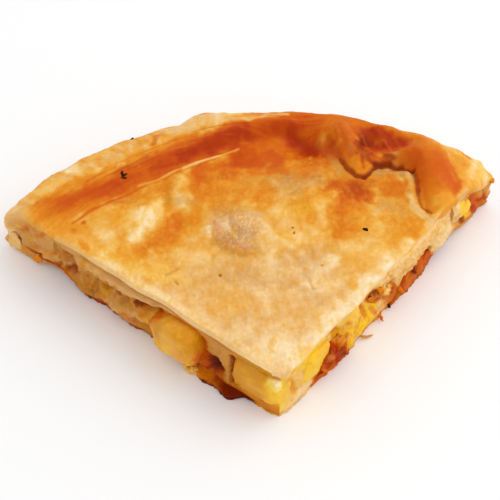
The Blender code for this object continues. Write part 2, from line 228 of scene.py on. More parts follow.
class Noise:
    """Smooth lattice noise: slopes drawn at whole-number places, blended between the eight nearest."""

    def __init__(self, seed: int) -> None:
        """Draw the slopes.

        Args:
            seed: Seed of the slopes.
        """
        draw = np.random.default_rng(seed)
        slopes = draw.normal(size=(256, 3))
        self.order = draw.permutation(256)
        self.slopes = slopes / np.linalg.norm(slopes, axis=1, keepdims=True)

    def layer(self, points: np.ndarray) -> np.ndarray:
        """Noise of one size: the eight nearest slopes times the way to each, blended by 6t^5 - 15t^4 + 10t^3.

        Args:
            points: Places as rows of three, in lattice units.

        Returns:
            One value for each point, between about -1 and 1.
        """
        cell = np.floor(points).astype(int)
        inside = points - cell
        blend = inside ** 3 * (inside * (inside * 6.0 - 15.0) + 10.0)
        total = np.zeros(len(points))
        for shift in np.ndindex(2, 2, 2):
            corner = cell + shift
            key = self.order[corner[:, 2] & 255]
            key = self.order[(corner[:, 1] + key) & 255]
            key = self.order[(corner[:, 0] + key) & 255]
            weight = np.prod(np.where(shift, blend, 1.0 - blend), axis=1)
            total += weight * np.einsum("ij,ij->i", self.slopes[key], inside - shift)
        return 1.6 * total

    def __call__(self, points: np.ndarray, size: float | tuple, octaves: int = 1) -> np.ndarray:
        """Noise at points in millimetres.

        Args:
            points: Places as rows of three.
            size: Size of the coarsest bumps in millimetres, one number or one for each axis.
            octaves: Number of layers, each half the size and half the strength of the one before.

        Returns:
            One value for each point, between about -1 and 1.
        """
        scaled = points / np.array(size)
        total = np.zeros(len(points))
        for octave in range(octaves):
            total += 0.5 ** octave * self.layer(scaled * 2.0 ** octave + 17.3 * octave)
        return total


@dataclass(frozen=True)
class Mark:
    """A stain, painted highlight, painted shade, dent or swelling: a spot, or a stroke along a path.

    The distance from the mark is 0 on the spot's centre or the stroke's line and 1 at its border. The
    cover falls smoothly from 1 to 0 across the border, over a width of 1.1 times edge.
    """

    path: tuple
    wide: float
    tone: Tone | None = None
    strength: float = 1.0
    long: float = 0.0
    turn: float = 0.0
    rise: float = 0.0
    edge: float = 1.0
    end: float | None = None

    def distance(self, across: np.ndarray, upward: np.ndarray) -> np.ndarray:
        """Distance from the mark, as a share of its half width.

        Args:
            across: First coordinate in millimetres.
            upward: Second coordinate in millimetres.

        Returns:
            For a spot the length of the turned offset over the half sizes. For a stroke the distance from
            the nearest stretch of the path over the half width there.
        """
        if not isinstance(self.path[0], tuple):
            lean = math.radians(self.turn)
            right = across - self.path[0]
            ahead = upward - self.path[1]
            along = right * math.cos(lean) + ahead * math.sin(lean)
            aside = ahead * math.cos(lean) - right * math.sin(lean)
            return np.hypot(along / self.wide, aside / (self.long or self.wide))
        nearest = np.full_like(across, 1e6)
        last = self.wide if self.end is None else self.end
        stretches = len(self.path) - 1
        for number in range(stretches):
            start = np.array(self.path[number], float)
            run = np.array(self.path[number + 1]) - start
            share = ((across - start[0]) * run[0] + (upward - start[1]) * run[1]) / run.dot(run)
            share = np.clip(share, 0.0, 1.0)
            gap = np.hypot(across - start[0] - share * run[0], upward - start[1] - share * run[1])
            width = self.wide + (last - self.wide) * (number + share) / stretches
            nearest = np.minimum(nearest, gap / width)
        return nearest

    def cover(self, across: np.ndarray, upward: np.ndarray, shake: np.ndarray | float = 0.0) -> np.ndarray:
        """Share of the mark at each place, 1 inside and 0 outside, with the distance shaken by noise."""
        distance = self.distance(across, upward) + shake * self.edge
        return 1.0 - smooth_step((distance - 1.0 + 0.65 * self.edge) / (1.1 * self.edge))


@dataclass
class Painting:
    """Colour of one surface: a ground tone with marks laid over it, one after the other.

    Tones are mixed as glazes are: the colour's logarithm moves towards the tone's by the cover.
    """

    across: np.ndarray
    upward: np.ndarray
    place: np.ndarray
    ground: Tone
    seed: int
    glaze: np.ndarray = field(init=False)

    def __post_init__(self) -> None:
        """Fill the ground and work out how the noise pushes the marks' edges about and thins them."""
        self.glaze = np.tile(self.ground.glaze, (len(self.across), 1))
        noise = Noise(self.seed)
        shifted = self.place + 91.7
        self.push = np.stack([
            1.5 * noise(self.place, 7.0, 2) + 0.8 * noise(self.place, 2.2, 2),
            1.5 * noise(shifted, 7.0, 2) + 0.8 * noise(shifted, 2.2, 2),
        ])
        self.cloud = 1.0 + 0.3 * noise(self.place + 47.1, 4.0, 2)
        self.shake = 0.45 * noise(self.place + 13.9, 6.0, 2)

    @property
    def colour(self) -> np.ndarray:
        """Linear colours as rows."""
        return np.exp(self.glaze)

    def blend(self, tone: Tone, cover: np.ndarray) -> None:
        """Mix a tone into the colour by a cover between 0 and 1."""
        share = np.clip(cover, 0.0, 1.0)[:, None]
        self.glaze = self.glaze * (1.0 - share) + tone.glaze * share

    def lay(self, marks: tuple, where: np.ndarray | float = 1.0) -> None:
        """Lay marks over the colour.

        Args:
            marks: The marks in order; those without a tone are passed over.
            where: Share between 0 and 1 that limits them to a part of the surface.
        """
        for mark in marks:
            if mark.tone is not None:
                hold = np.clip(mark.wide / 4.0, 0.15, 1.0)
                cover = mark.cover(self.across + hold * self.push[0], self.upward + hold * self.push[1],
                                   self.shake)
                self.blend(mark.tone, mark.strength * cover * where * self.cloud)


def at_cut(bearing: np.ndarray) -> np.ndarray:
    """True where a bearing lies on one of the two cuts."""
    return np.abs(bearing) > HALF_ANGLE - 1e-6


def depth_behind_cut(radius: np.ndarray, bearing: np.ndarray) -> np.ndarray:
    """Distance to the nearer cut: the radius times the sine of the angle that is left to it."""
    return radius * np.sin(HALF_ANGLE - np.abs(bearing))


def unrolled(bearing: np.ndarray, level: np.ndarray) -> np.ndarray:
    """Places in millimetres with the way round the rim laid out straight and a level across it."""
    return np.stack([bearing * PAN_RADIUS / MM, level / MM, 0.0 * level], axis=1)


def relief_of(marks: tuple, across: np.ndarray, upward: np.ndarray) -> np.ndarray:
    """Sum of the rises of marks, each times its cover.

    Args:
        marks: The marks; those without a rise are passed over.
        across: First coordinate in millimetres.
        upward: Second coordinate in millimetres.

    Returns:
        The relief in metres.
    """
    total = np.zeros_like(across)
    for mark in marks:
        if mark.rise:
            total += mark.rise * MM * mark.cover(across, upward)
    return total


def face_relief(along: np.ndarray, height: np.ndarray, places: tuple) -> np.ndarray:
    """How far a cut face stands out: the sum of rise * exp(-distance^2) over the places.

    Args:
        along: Distance from the tip in metres.
        height: Height in metres.
        places: Rows of the middle along and up, the half sizes along and up and the rise, in millimetres.

    Returns:
        The relief in metres.
    """
    out = np.zeros_like(along)
    for middle, level, half_along, half_up, rise in places:
        across = (along - middle * MM) / (half_along * MM)
        upward = (height - level * MM) / (half_up * MM)
        out = out + rise * MM * np.exp(-(across ** 2 + upward ** 2))
    return out


def top_surface(radius: np.ndarray, bearing: np.ndarray, marks: tuple) -> np.ndarray:
    """Height of the baked top: level sheet, lifted band, loose folds, swells, and the slope of the rim.

    Args:
        radius: Distance from the tip in metres.
        bearing: Angle from the middle line in radians, clockwise from above.
        marks: Finer dents and swellings that the solids leave out.

    Returns:
        The height in metres. Past the band's outer edge it falls to the rim's level as the 1.7th power.
    """
    x = radius * np.sin(bearing)
    y = radius * np.cos(bearing)
    inner = read_table(BAND_INNER, bearing)
    outer = read_table(BAND_OUTER, bearing)
    across = (radius - inner) / (outer - inner)
    height = TOP_LEVEL + read_table(BAND_LIFT, bearing) * smooth_step(across / 0.55)
    for x_mid, y_mid, x_half, y_half, rise in SWELLS:
        spread = ((x - x_mid * MM) / (x_half * MM)) ** 2 + ((y - y_mid * MM) / (y_half * MM)) ** 2
        height = height + rise * MM * np.exp(-spread)
    for path, start_width, end_width, rise in FOLDS:
        distance = Mark(path, start_width, end=end_width).distance(x / MM, y / MM)
        height = height + rise * MM * np.sqrt(np.clip(1.0 - distance ** 2, 0.0, 1.0))
    height = height + 0.3 * MM * ripple(x, y, 0.0 * x, 21, 0.024) * smooth_step(radius / 0.02)
    height = height + relief_of(marks, x / MM, y / MM)
    slope = np.clip((radius - outer) / (PAN_RADIUS - outer), 0.0, 1.0)
    return height + (read_table(RIM_LEVEL, bearing) - height) * slope ** 1.7


def base_underside(radius: np.ndarray) -> np.ndarray:
    """Underside of the base: flat, then a smooth rise into the arch beside the rim."""
    return ARCH_HEIGHT * smooth_step((radius - BASE_FLAT_END) / (ROLL_START - BASE_FLAT_END))


def base_top(radius: np.ndarray, bearing: np.ndarray) -> np.ndarray:
    """Upper side of the base, which curls up along a stretch of the right cut.

    Args:
        radius: Distance from the tip in metres.
        bearing: Angle from the middle line in radians.

    Returns:
        The height in metres. The curl falls off as exp(-(distance from the cut / its depth)^2).
    """
    from_cut = radius * np.sin(HALF_ANGLE - bearing)
    along_cut = smooth_step((radius - CURL_FROM) / 0.008) * smooth_step((CURL_TO - radius) / 0.006)
    curl = (CURL_HEIGHT - BASE_THICKNESS) * along_cut * np.exp(-(from_cut / CURL_DEPTH) ** 2)
    return base_underside(radius) + BASE_THICKNESS + curl


def tip_blunting(radius: np.ndarray, bearing: np.ndarray) -> np.ndarray:
    """Radius with the sharp tip opened into a small rounded end."""
    blunt = TIP_RADIUS * (0.35 + 0.65 * (bearing / HALF_ANGLE) ** 2)
    return blunt + radius * (PAN_RADIUS - blunt) / PAN_RADIUS


def push_cuts(
    radius: np.ndarray, bearing: np.ndarray, height: np.ndarray, places: tuple, marks: tuple
) -> np.ndarray:
    """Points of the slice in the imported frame, with the relief of both cuts pushed into them.

    Args:
        radius: Distance from the tip in metres.
        bearing: Angle from the middle line in radians.
        height: Height in metres.
        places: The bell-shaped places of the left and the right cut, as in the solids.
        marks: The finer marks of the left and the right cut, whose rises stand out from the face.

    Returns:
        Points as rows. Each moves along the cut's normal by the relief, times (1 - depth / reach)^2.
    """
    x = radius * np.sin(bearing)
    y = radius * np.cos(bearing)
    for side, side_places, side_marks in zip(Side, places, marks):
        depth = radius * np.sin(HALF_ANGLE - side.value * bearing)
        near = np.clip(1.0 - depth / RELIEF_DEPTH, 0.0, 1.0) ** 2
        out = face_relief(radius, height, side_places)
        out = out + CUT_RIPPLE * ripple(x, y, height, 31 + int(side.value), 0.017)
        close = depth < RELIEF_DEPTH
        fine = np.zeros_like(radius)
        fine[close] = relief_of(side_marks, radius[close] / MM, height[close] / MM)
        push = near * (out + fine) * smooth_step(radius / TIP_FADE)
        x = x + push * side.value * math.cos(HALF_ANGLE)
        y = y - push * math.sin(HALF_ANGLE)
    return np.stack([x, y - ORIGIN_FROM_TIP, height], axis=1)


def push_out(points: np.ndarray, push: np.ndarray, side: np.ndarray) -> None:
    """Move points along the normal of their cut face.

    Args:
        points: Points in metres, which are changed.
        push: Distance outwards in metres.
        side: -1 on the left cut, 1 on the right cut and 0 elsewhere, where push is 0 too.
    """
    points[:, 0] += push * side * math.cos(HALF_ANGLE)
    points[:, 1] -= push * math.sin(HALF_ANGLE)


def on_face(side: Side, along: float, depth: float, height: float) -> np.ndarray:
    """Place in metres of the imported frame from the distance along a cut, depth behind it and height.

    Args:
        side: The cut face.
        along: Distance from the tip in millimetres.
        depth: Distance behind the face in millimetres.
        height: Height above the table in millimetres.

    Returns:
        The three coordinates.
    """
    x = side.value * (along * math.sin(HALF_ANGLE) - depth * math.cos(HALF_ANGLE))
    y = along * math.cos(HALF_ANGLE) + depth * math.sin(HALF_ANGLE)
    return np.array([x * MM, y * MM - ORIGIN_FROM_TIP, height * MM])


def make_piece(name: str, points: np.ndarray, faces: list, colour: np.ndarray, slot: str,
               nodes: tuple = ()) -> bpy.types.Object:
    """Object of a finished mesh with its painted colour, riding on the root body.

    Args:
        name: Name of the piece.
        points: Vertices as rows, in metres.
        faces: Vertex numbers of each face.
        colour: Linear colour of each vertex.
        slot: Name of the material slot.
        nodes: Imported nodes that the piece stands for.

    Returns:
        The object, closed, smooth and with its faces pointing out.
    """
    mesh = bpy.data.meshes.new(name)
    mesh.from_pydata(points.tolist(), [], faces)
    skin = bmesh.new()
    skin.from_mesh(mesh)
    bmesh.ops.recalc_face_normals(skin, faces=skin.faces)
    if skin.calc_volume(signed=True) < 0.0:
        bmesh.ops.reverse_faces(skin, faces=skin.faces)
    skin.to_mesh(mesh)
    skin.free()
    mesh.shade_smooth()
    paint = mesh.color_attributes.new("tone", "FLOAT_COLOR", "POINT")
    values = np.concatenate([np.clip(colour, 0.0, 1.0), np.ones((len(colour), 1))], axis=1)
    paint.data.foreach_set("color", values.astype(np.float32).ravel())
    made = bpy.data.objects.new(name, mesh)
    bpy.context.scene.collection.objects.link(made)
    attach(made, "root")
    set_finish(made, slot)
    if nodes:
        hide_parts(*nodes)
    return made


def block_skin(columns: int, rows: int, layers: int) -> tuple[np.ndarray, list]:
    """Skin of a block of lattice points.

    Args:
        columns: Number of points along the first axis.
        rows: Number of points along the second axis.
        layers: Number of points along the third axis.

    Returns:
        Each skin point's shares, 0 to 1, of the block's three axes as rows, and the faces of the six sides.
    """
    shape = (columns, rows, layers)
    place = np.indices(shape).reshape(3, -1)
    limit = np.array(shape)[:, None] - 1
    outer = ((place == 0) | (place == limit)).any(axis=0)
    number = np.full(columns * rows * layers, -1)
    number[outer] = np.arange(outer.sum())
    number = number.reshape(shape)
    faces = []
    for axis in range(3):
        for end in (0, shape[axis] - 1):
            sheet = np.take(number, end, axis=axis)
            quads = np.stack([sheet[:-1, :-1], sheet[1:, :-1], sheet[1:, 1:], sheet[:-1, 1:]], axis=-1)
            faces += quads.reshape(-1, 4).tolist()
    return (place[:, outer] / limit).T, faces


def wrapped_faces(rings: int, around: int) -> np.ndarray:
    """Quads between rings of points that each close on themselves, as rows of four numbers."""
    number = np.arange(rings * around).reshape(rings, around)
    after = np.roll(number, -1, axis=1)
    return np.stack([number[:-1], after[:-1], after[1:], number[1:]], axis=-1).reshape(-1, 4)


def capped_faces(rings: int, around: int) -> list:
    """Faces of rings of points that close on themselves, with a fan of triangles at both ends.

    Args:
        rings: Number of rings.
        around: Number of points in a ring.

    Returns:
        Vertex numbers of each face. The first ring's pole and the last ring's follow the rings as points.
    """
    pole = rings * around
    ring = np.arange(around)
    after = np.roll(ring, -1)
    last = pole - around
    first_fan = np.stack([np.full(around, pole), after, ring], axis=1)
    last_fan = np.stack([np.full(around, pole + 1), last + ring, last + after], axis=1)
    return wrapped_faces(rings, around).tolist() + first_fan.tolist() + last_fan.tolist()


def spot(x: float, y: float, wide: float, long: float, turn: float, tone: Tone | None, strength: float = 1.0,
         edge: float = 1.0, rise: float = 0.0) -> Mark:
    """Oval mark: its centre, half sizes along and across the turned axis, and what it brings."""
    return Mark((x, y), wide, tone, strength, long, turn, rise, edge)


def soft(x: float, y: float, wide: float, long: float, tone: Tone, strength: float) -> Mark:
    """Unturned oval mark with a soft border."""
    return spot(x, y, wide, long, 0, tone, strength, SOFT_EDGE)


def stroke(path: tuple, wide: float, tone: Tone | None, strength: float = 1.0, edge: float = 1.0,
           end: float | None = None, rise: float = 0.0) -> Mark:
    """Mark along a path: its half widths at the start and the end, and what it brings."""
    return Mark(path, wide, tone, strength, rise=rise, edge=edge, end=end)


# Stains, painted highlights, painted shade and fine dents of the baked top, from the ground up.
SHEET_MARKS = (
    stroke(((-74, 82), (-50, 89), (-22, 97), (4, 104), (28, 97), (50, 84), (72, 68)), 22, GOLD, 0.85),
    stroke(((-30, 62), (0, 72), (30, 70), (56, 64)), 13, GOLD, 0.5), spot(-1, 11, 12, 9, 0, CREAM, 0.75),
    stroke(((-66, 62), (-44, 43), (-22, 23), (-6, 8)), 3, PALE, 0.8),
    stroke(((6, 8), (20, 21), (40, 41), (58, 56), (70, 64)), 4.5, CREAM, 0.85),
    spot(-15, 36, 8, 13, 25, GOLD, 0.5), spot(-11, 24, 9, 7, 30, GREYTAN, 0.6),
    spot(8, 29, 9, 11, -10, SAND, 0.7), spot(-1, 40, 1.8, 10, 0, CREAM, 0.5),
    spot(16, 42, 3.5, 9, 0, CREAM, 0.65), spot(24, 51, 7, 3.5, 20, CREAM, 0.7),
    spot(2, 52, 4, 8, 0, CREAM, 0.35), spot(12, 54, 8, 5, 10, GREYTAN, 0.6, 1.3),
    spot(-47, 56, 10, 5, -25, STRAW, 0.75), spot(-36, 51, 8, 3.5, -20, STRAW, 0.7),
    spot(-55, 65, 9, 5, -35, STRAW, 0.7), spot(-24, 58, 6, 7, 20, PALE, 0.5),
    spot(31, 61, 6, 4, 0, SAND, 0.6), spot(37, 49, 8, 6, 25, GOLD, 0.85), spot(46, 55, 6, 4, 40, STRAW, 0.6),
    spot(32.5, 40, 1.9, 3, 0, GOLD, 0.9, 0.9), stroke(((16.5, 43), (17.5, 39)), 0.8, GREYTAN, 0.6),
    spot(35, 72, 7, 14, -5, AMBER, 0.85, 1.4), spot(33, 66, 4, 6, 0, ORANGE, 0.5),
    soft(34, 75, 6, 9, ORANGE, 0.95), spot(42, 72, 4, 9, 0, AMBER, 0.55), spot(47, 66, 3.5, 5, 0, PALE, 0.6),
    spot(60, 67, 8, 9, 30, AMBER, 0.8), spot(55, 60, 6, 4, 30, AMBER, 0.5),
    soft(53, 79, 5, 5.5, GREYTAN, 0.5), spot(50, 75, 2.5, 3, 0, PALE, 0.5),
    spot(59, 90, 5.5, 8, 0, ORANGE, 0.7), spot(52, 93, 5, 4, 0, AMBER, 0.7),
    spot(44, 94, 5, 3, 0, ORANGE, 0.6), soft(43, 88, 9.5, 7, ORANGE, 0.95),
    spot(43, 89, 7, 5, 0, RUSSET, 1, 1.2), spot(42.5, 89, 5, 3.8, 0, BRICK, 0.9, 1.2),
    spot(60, 97.5, 7, 2.2, -5, GREYTAN, 0.85), spot(21, 99, 15, 4.5, -3, GREYTAN, 0.85, 1.2),
    spot(22, 100, 10, 2.5, -3, ROSE, 0.45, 1.2),
    stroke(((12, 98.8), (24, 98.4), (33, 97.6)), 0.5, OLIVE, 0.5),
    stroke(((11, 95), (20, 94.6)), 1.2, PALE, 0.5), spot(5, 92, 7, 5, 0, PALE, 0.65),
    soft(18, 82, 7, 7, AMBER, 0.7), soft(19, 81.5, 4, 4, OCHRE, 0.5), spot(11, 80, 3, 5, 0, STRAW, 0.6),
    spot(27, 79, 2.5, 7, 0, PALE, 0.65), spot(4, 70, 6, 8, 0, SAND, 0.7), spot(11, 66, 6, 4, 0, STRAW, 0.5),
    spot(30, 89, 4, 6, 0, AMBER, 0.6), spot(8, 104, 15, 4, 5, ORANGE, 0.8),
    spot(4, 111, 12, 9, 0, ORANGE, 0.8, 1.4), spot(3, 112, 8.5, 8, 0, RUSSET, 0.8, 1.4),
    stroke(((-4, 117), (-5, 106)), 3, RUSSET, 0.8, 1.3), spot(18, 112, 8, 8, 0, AMBER, 0.9),
    spot(20, 108, 5, 4, 0, AMBER, 0.5), spot(14, 117, 3.5, 5, 0, AMBER, 0.35),
    soft(24, 118, 8, 8, RUSSET, 0.85),
    stroke(((18, 124), (25, 121), (31, 116.5), (35, 109)), 5.8, RUSSET, 0.9, 1.2, 3.4),
    stroke(((20, 124.5), (26, 121), (31, 116.5), (34, 112)), 4.8, BRICK, 1, 1, 2.8),
    spot(30, 114, 3.5, 7, 15, RUSSET, 0.85, 1.2),
    stroke(((20, 125), (26, 121.5), (31, 116)), 2.6, UMBER, 0.6, 1.2, 1.4),
    stroke(((32.5, 121), (35.4, 115), (37, 109), (38.4, 101)), 1.3, SAND, 0.85, 1.2, 2.2, 0.4),
    # The rose spot in the shallow dip at (-51, 94) is painted shade of the dip.
    spot(-51, 94, 8, 3, 10, ROSE, 0.85), spot(-53, 92, 3, 1.2, 10, RUSSET, 0.8),
    spot(-49, 97, 5, 1.6, 12, GREYTAN, 0.8), spot(-40, 96, 5, 6, 0, GOLD, 0.6),
    stroke(((-52, 63), (-43, 67), (-35, 72), (-26, 80)), 6.5, AMBER, 0.85, 1.4),
    stroke(((-44, 67), (-38, 72), (-33, 77), (-28, 82)), 5, ORANGE, 0.9, 1.4, 4.5),
    spot(-34, 77, 3.6, 3, 40, RUSSET, 0.6), spot(-25, 82, 5, 6, 0, AMBER, 0.7),
    stroke(((-35, 87), (-35.5, 104)), 3.6, AMBER, 0.8, 1.3),
    stroke(((-34, 90), (-34.5, 100)), 2, OLIVE, 0.6, 1.3),
    stroke(((-37.5, 90), (-37.5, 103)), 1.8, AMBER, 0.7), spot(-42, 88, 5, 6, 0, PALE, 0.6),
    # The pale and cream strokes over the crests are partly paler dough and partly a painted highlight on the
    # raised crests.
    spot(-46, 82, 8, 13, -10, PALE, 0.7),
    stroke(((-42, 92), (-44, 84), (-48, 74)), 4.6, CREAM, 0.95, 1.3, end=3, rise=0.5),
    stroke(((-46.5, 79), (-49.5, 70)), 2.2, CREAM, 0.7, 1.2, end=1.2),
    stroke(((-29, 87), (-30, 95), (-28, 103)), 3, CREAM, 0.85, 1.3, end=2, rise=0.35),
    spot(-27, 95, 4, 9, 0, PALE, 0.4), spot(-22, 95, 2.6, 9, 0, AMBER, 0.75),
    stroke(((-22, 96), (-21.5, 110)), 3.4, ORANGE, 0.9, 1.3),
    stroke(((-22, 100), (-21, 110)), 2.2, RUSSET, 0.7, 1.3), spot(-17.5, 103, 1.3, 3.5, 0, ROSE, 0.6),
    soft(-13, 92, 6, 7, AMBER, 0.6), spot(-9, 98, 3.5, 3.5, 0, STRAW, 0.75),
    spot(-13, 107, 5, 3.5, 20, ORANGE, 0.75), spot(-7, 104, 5, 4, 0, AMBER, 0.6),
    soft(-12, 106, 13, 7, AMBER, 0.7), soft(-7, 108, 6, 5, ORANGE, 0.6), soft(8, 110, 12, 6.5, RUSSET, 0.65),
    soft(9, 107, 7, 4, ROSE, 0.5), spot(-9, 95, 11, 6.5, 0, AMBER, 0.6, 1.4),
    spot(1, 97, 9, 5, 0, GREYTAN, 0.6, 1.4), spot(8, 93, 9, 6, 0, AMBER, 0.5, 1.4),
    spot(-6, 90, 8, 4, 0, SAND, 0.6, 1.4), spot(13, 88, 7, 4, 0, SAND, 0.6, 1.4),
    # Thin pale stroke: a painted highlight on a small blister.
    stroke(((-19, 113), (-18.4, 109), (-18, 106)), 0.8, PALE, 0.8, 1.2),
    spot(-9, 99, 1.2, 4, 10, STRAW, 0.7, 1.2), soft(-41, 99, 7, 5, AMBER, 0.55),
    spot(49, 89, 9, 6, 0, AMBER, 0.5, 1.4), spot(58, 85, 8, 6, 0, AMBER, 0.45, 1.4),
    soft(42.5, 88.5, 7, 5, RUSSET, 0.85), soft(42, 88.5, 4.5, 3, BRICK, 0.7),
    soft(12, 121, 9, 5, ORANGE, 0.85), soft(17, 95, 12, 4.4, GREYTAN, 0.8), soft(25, 107, 8, 4, ORANGE, 0.5),
    spot(-15, 105.5, 11, 6, 0, ORANGE, 0.45, 1.4), spot(-32, 98, 8, 7, 0, AMBER, 0.4, 1.4),
    spot(50, 91.5, 14, 5, -4, ORANGE, 0.45, 1.4), soft(43, 90, 8.5, 5.5, AMBER, 0.6),
    soft(43, 89, 7, 4.5, UMBER, 0.4), soft(9, 117, 9, 7, RUSSET, 0.75),
    spot(-9, 104.5, 8.5, 5.5, 0, ORANGE, 0.6, 1.4), spot(24, 105, 7, 5, 0, ORANGE, 0.6, 1.4),
    spot(60, 87, 7, 6, 0, ORANGE, 0.35, 1.4), spot(-43, 96, 6, 8, 0, AMBER, 0.4, 1.4),
    soft(36.5, 58, 6, 5, PALE, 0.6), spot(0, 92.5, 8, 5, 0, AMBER, 0.5, 1.4),
    spot(-17, 92, 7, 9, 0, AMBER, 0.45, 1.4), spot(-8, 44, 16, 6, 0, GREYTAN, 0.4, 1.4),
    spot(-10, 51, 18, 7, 0, GREYTAN, 0.4, 1.4), spot(10, 46, 14, 6, 0, GREYTAN, 0.35, 1.4),
    spot(58, 80, 7, 8, 0, GREYTAN, 0.5, 1.4),
    # Cream lines along small ridges of the sheet are painted highlights; the gold and grey-tan lines beside
    # them are painted shade.
    stroke(((0, 78), (4, 71), (7, 66), (12, 61)), 2, CREAM, 0.5, 1.6, 1.4, 0.2),
    stroke(((5, 78), (9, 71), (13, 66)), 1.8, GOLD, 0.4, 1.6),
    stroke(((16, 57), (19, 51), (20, 45), (24, 40)), 2.4, CREAM, 0.6, 1.6, 1.2, 0.2),
    stroke(((13, 55), (15.5, 49.5), (17, 43)), 1.4, GREYTAN, 0.5, 1.5, 1),
    stroke(((-68, 70), (-60, 63), (-52, 56)), 5, STRAW, 0.55, 1.3), spot(-60, 76, 4, 5, 0, PALE, 0.7),
    spot(-55, 84, 4, 5, 0, STRAW, 0.5), spot(-64, 87, 5, 4, 0, GOLD, 0.6),
    stroke(((-80, 83), (-74, 77), (-68, 72)), 3.5, GOLD, 0.6),
    stroke(((-70, 72), (-67, 68), (-66, 64)), 1.4, AMBER, 0.8), spot(-61, 66, 3.5, 2, 0, CREAM, 0.6),
    spot(-72.8, 78.8, 1.3, 1.2, 0, BRICK, 1.1, 0.7, -0.25), spot(-68.7, 82.5, 1.1, 0.9, 0, BRICK, 0.75, 0.7),
    spot(-9, 72, 10.5, 11.5, 0, BLISTER, 1, 0.8, 0.9), spot(-9, 81, 8, 3, 0, SAND, 0.5),
    # The pale spot at (-15, 73) is a painted highlight on the blister.
    spot(-3, 75, 4, 5, 0, FILM, 0.6), spot(-15, 73, 2.6, 7, 10, PALE, 0.7), spot(-6, 76, 4, 3, 0, FILM, 0.5),
    spot(-20, 72, 2, 7, 0, SAND, 0.7), spot(-10, 67, 2.5, 3, 0, OLIVE, 0.35),
    # The olive crescent along the blister's lower edge is painted shade, with a shallow dent.
    stroke(((-17, 68), (-14, 62), (-8, 58.5), (-2, 58), (1.5, 61), (1.5, 66)), 1.8, OLIVE, 0.5, 1.5,
           rise=-0.3), stroke(((-12, 65), (-6, 61.5), (-1, 62)), 1.2, BLISTER, 0.9),
    spot(-6, 64, 5, 3.2, 0, FILM, 0.4),
    stroke(((-17, 77), (-15.5, 70), (-11, 64), (-5, 61)), 1.5, ROSE, 0.55, 1.3),
    # The cream strokes on the blister's left side are painted highlights.
    stroke(((-12.5, 78), (-12, 72), (-9, 67)), 1.2, CREAM, 0.75, 1.3, 0.8),
    stroke(((-19.5, 74), (-19, 69)), 1.1, CREAM, 0.6, 1.3),
    stroke(((-37.5, 51.3), (-33, 54)), 0.5, OLIVE, 0.6, rise=-0.2),
    stroke(((-34.5, 48), (-33.5, 46.8)), 0.45, OLIVE, 0.6, rise=-0.2),
    spot(-28, 40.5, 1.2, 0.7, 20, OLIVE, 0.5), soft(1, 87, 8, 4.5, AMBER, 0.6),
    soft(1, 94, 6, 4, AMBER, 0.5), spot(-12, 23, 9, 5.5, 25, PALE, 0.75, 1.3),
    spot(2.5, 65, 3.4, 6, 15, PALE, 0.75, 1.3), soft(-48, 93, 6, 4.5, AMBER, 0.65),
    stroke(((-66, 63), (-54, 54.5), (-45, 46.5), (-37, 37.5)), 2.6, PALE, 0.7, 1.3),
    soft(59.5, 60.5, 4, 4, AMBER, 0.65), soft(9, 9.5, 3, 2.5, STRAW, 0.5),
    soft(-15, 82, 5, 4.5, GREYTAN, 0.7), soft(39.5, 84, 5.5, 4.5, ORANGE, 0.65),
    soft(-19, 89.5, 5.5, 5, AMBER, 0.65), soft(17, 66, 4.5, 4.5, PALE, 0.7), soft(55, 55.5, 5, 4, GOLD, 0.5),
    soft(59, 82, 6, 4.5, AMBER, 0.55), soft(29.5, 84, 4.5, 4.5, AMBER, 0.5),
    soft(28, 107, 5.5, 4.5, ORANGE, 0.6), soft(-58, 87, 5.5, 4.5, AMBER, 0.5),
    soft(-8, 102, 6, 5, ORANGE, 0.65), soft(5, 49, 7, 5, PALE, 0.55),
    spot(1, 90.5, 9, 7, 0, ORANGE, 0.4, 1.4), spot(39.5, 84, 6.5, 5.5, 0, RUSSET, 0.4, 1.4),
    spot(-17, 93, 8, 6.5, 0, ORANGE, 0.4, 1.4), spot(-42, 97, 10, 5, 20, ORANGE, 0.35, 1.4),
    spot(28, 103, 8, 5.5, 0, RUSSET, 0.35, 1.4), spot(-8, 102, 7, 5, 0, RUSSET, 0.3, 1.4),
    spot(38, 94, 7, 5, 0, ORANGE, 0.4, 1.4), spot(60, 86, 7, 6, 0, ORANGE, 0.35, 1.4),
    stroke(((-66, 63), (-54, 54.5), (-45, 46.5), (-37, 37.5)), 2.4, PALE, 0.6, 1.3),
    soft(20, 53.5, 6, 5, GREYTAN, 0.6), soft(17, 35, 5, 4, GREYTAN, 0.55), soft(9.5, 10, 4, 3, STRAW, 0.6),
    soft(-52, 80, 6, 5, AMBER, 0.5), soft(13, 79, 6, 4, CREAM, 0.4), soft(-15, 82, 5, 4, ORANGE, 0.25),
    soft(40, 87, 6, 5, RUSSET, 0.45), soft(-12.5, 108, 6, 4, RUSSET, 0.45),
    soft(-29, 90, 6, 4, GREYTAN, 0.5), soft(42, 88, 8.5, 5.5, BRICK, 0.4), soft(25, 52, 4, 4, CREAM, 0.6),
    soft(-46, 80, 5, 4, CREAM, 0.5),
)
BAND = ((-86, 90), (-76, 93.5), (-66, 97.2), (-56, 101), (-46, 106), (-36, 110.4), (-26, 114.6), (-16, 118.4),
        (-6, 123.5), (4, 127), (14, 129), (24, 129.5), (32, 127))
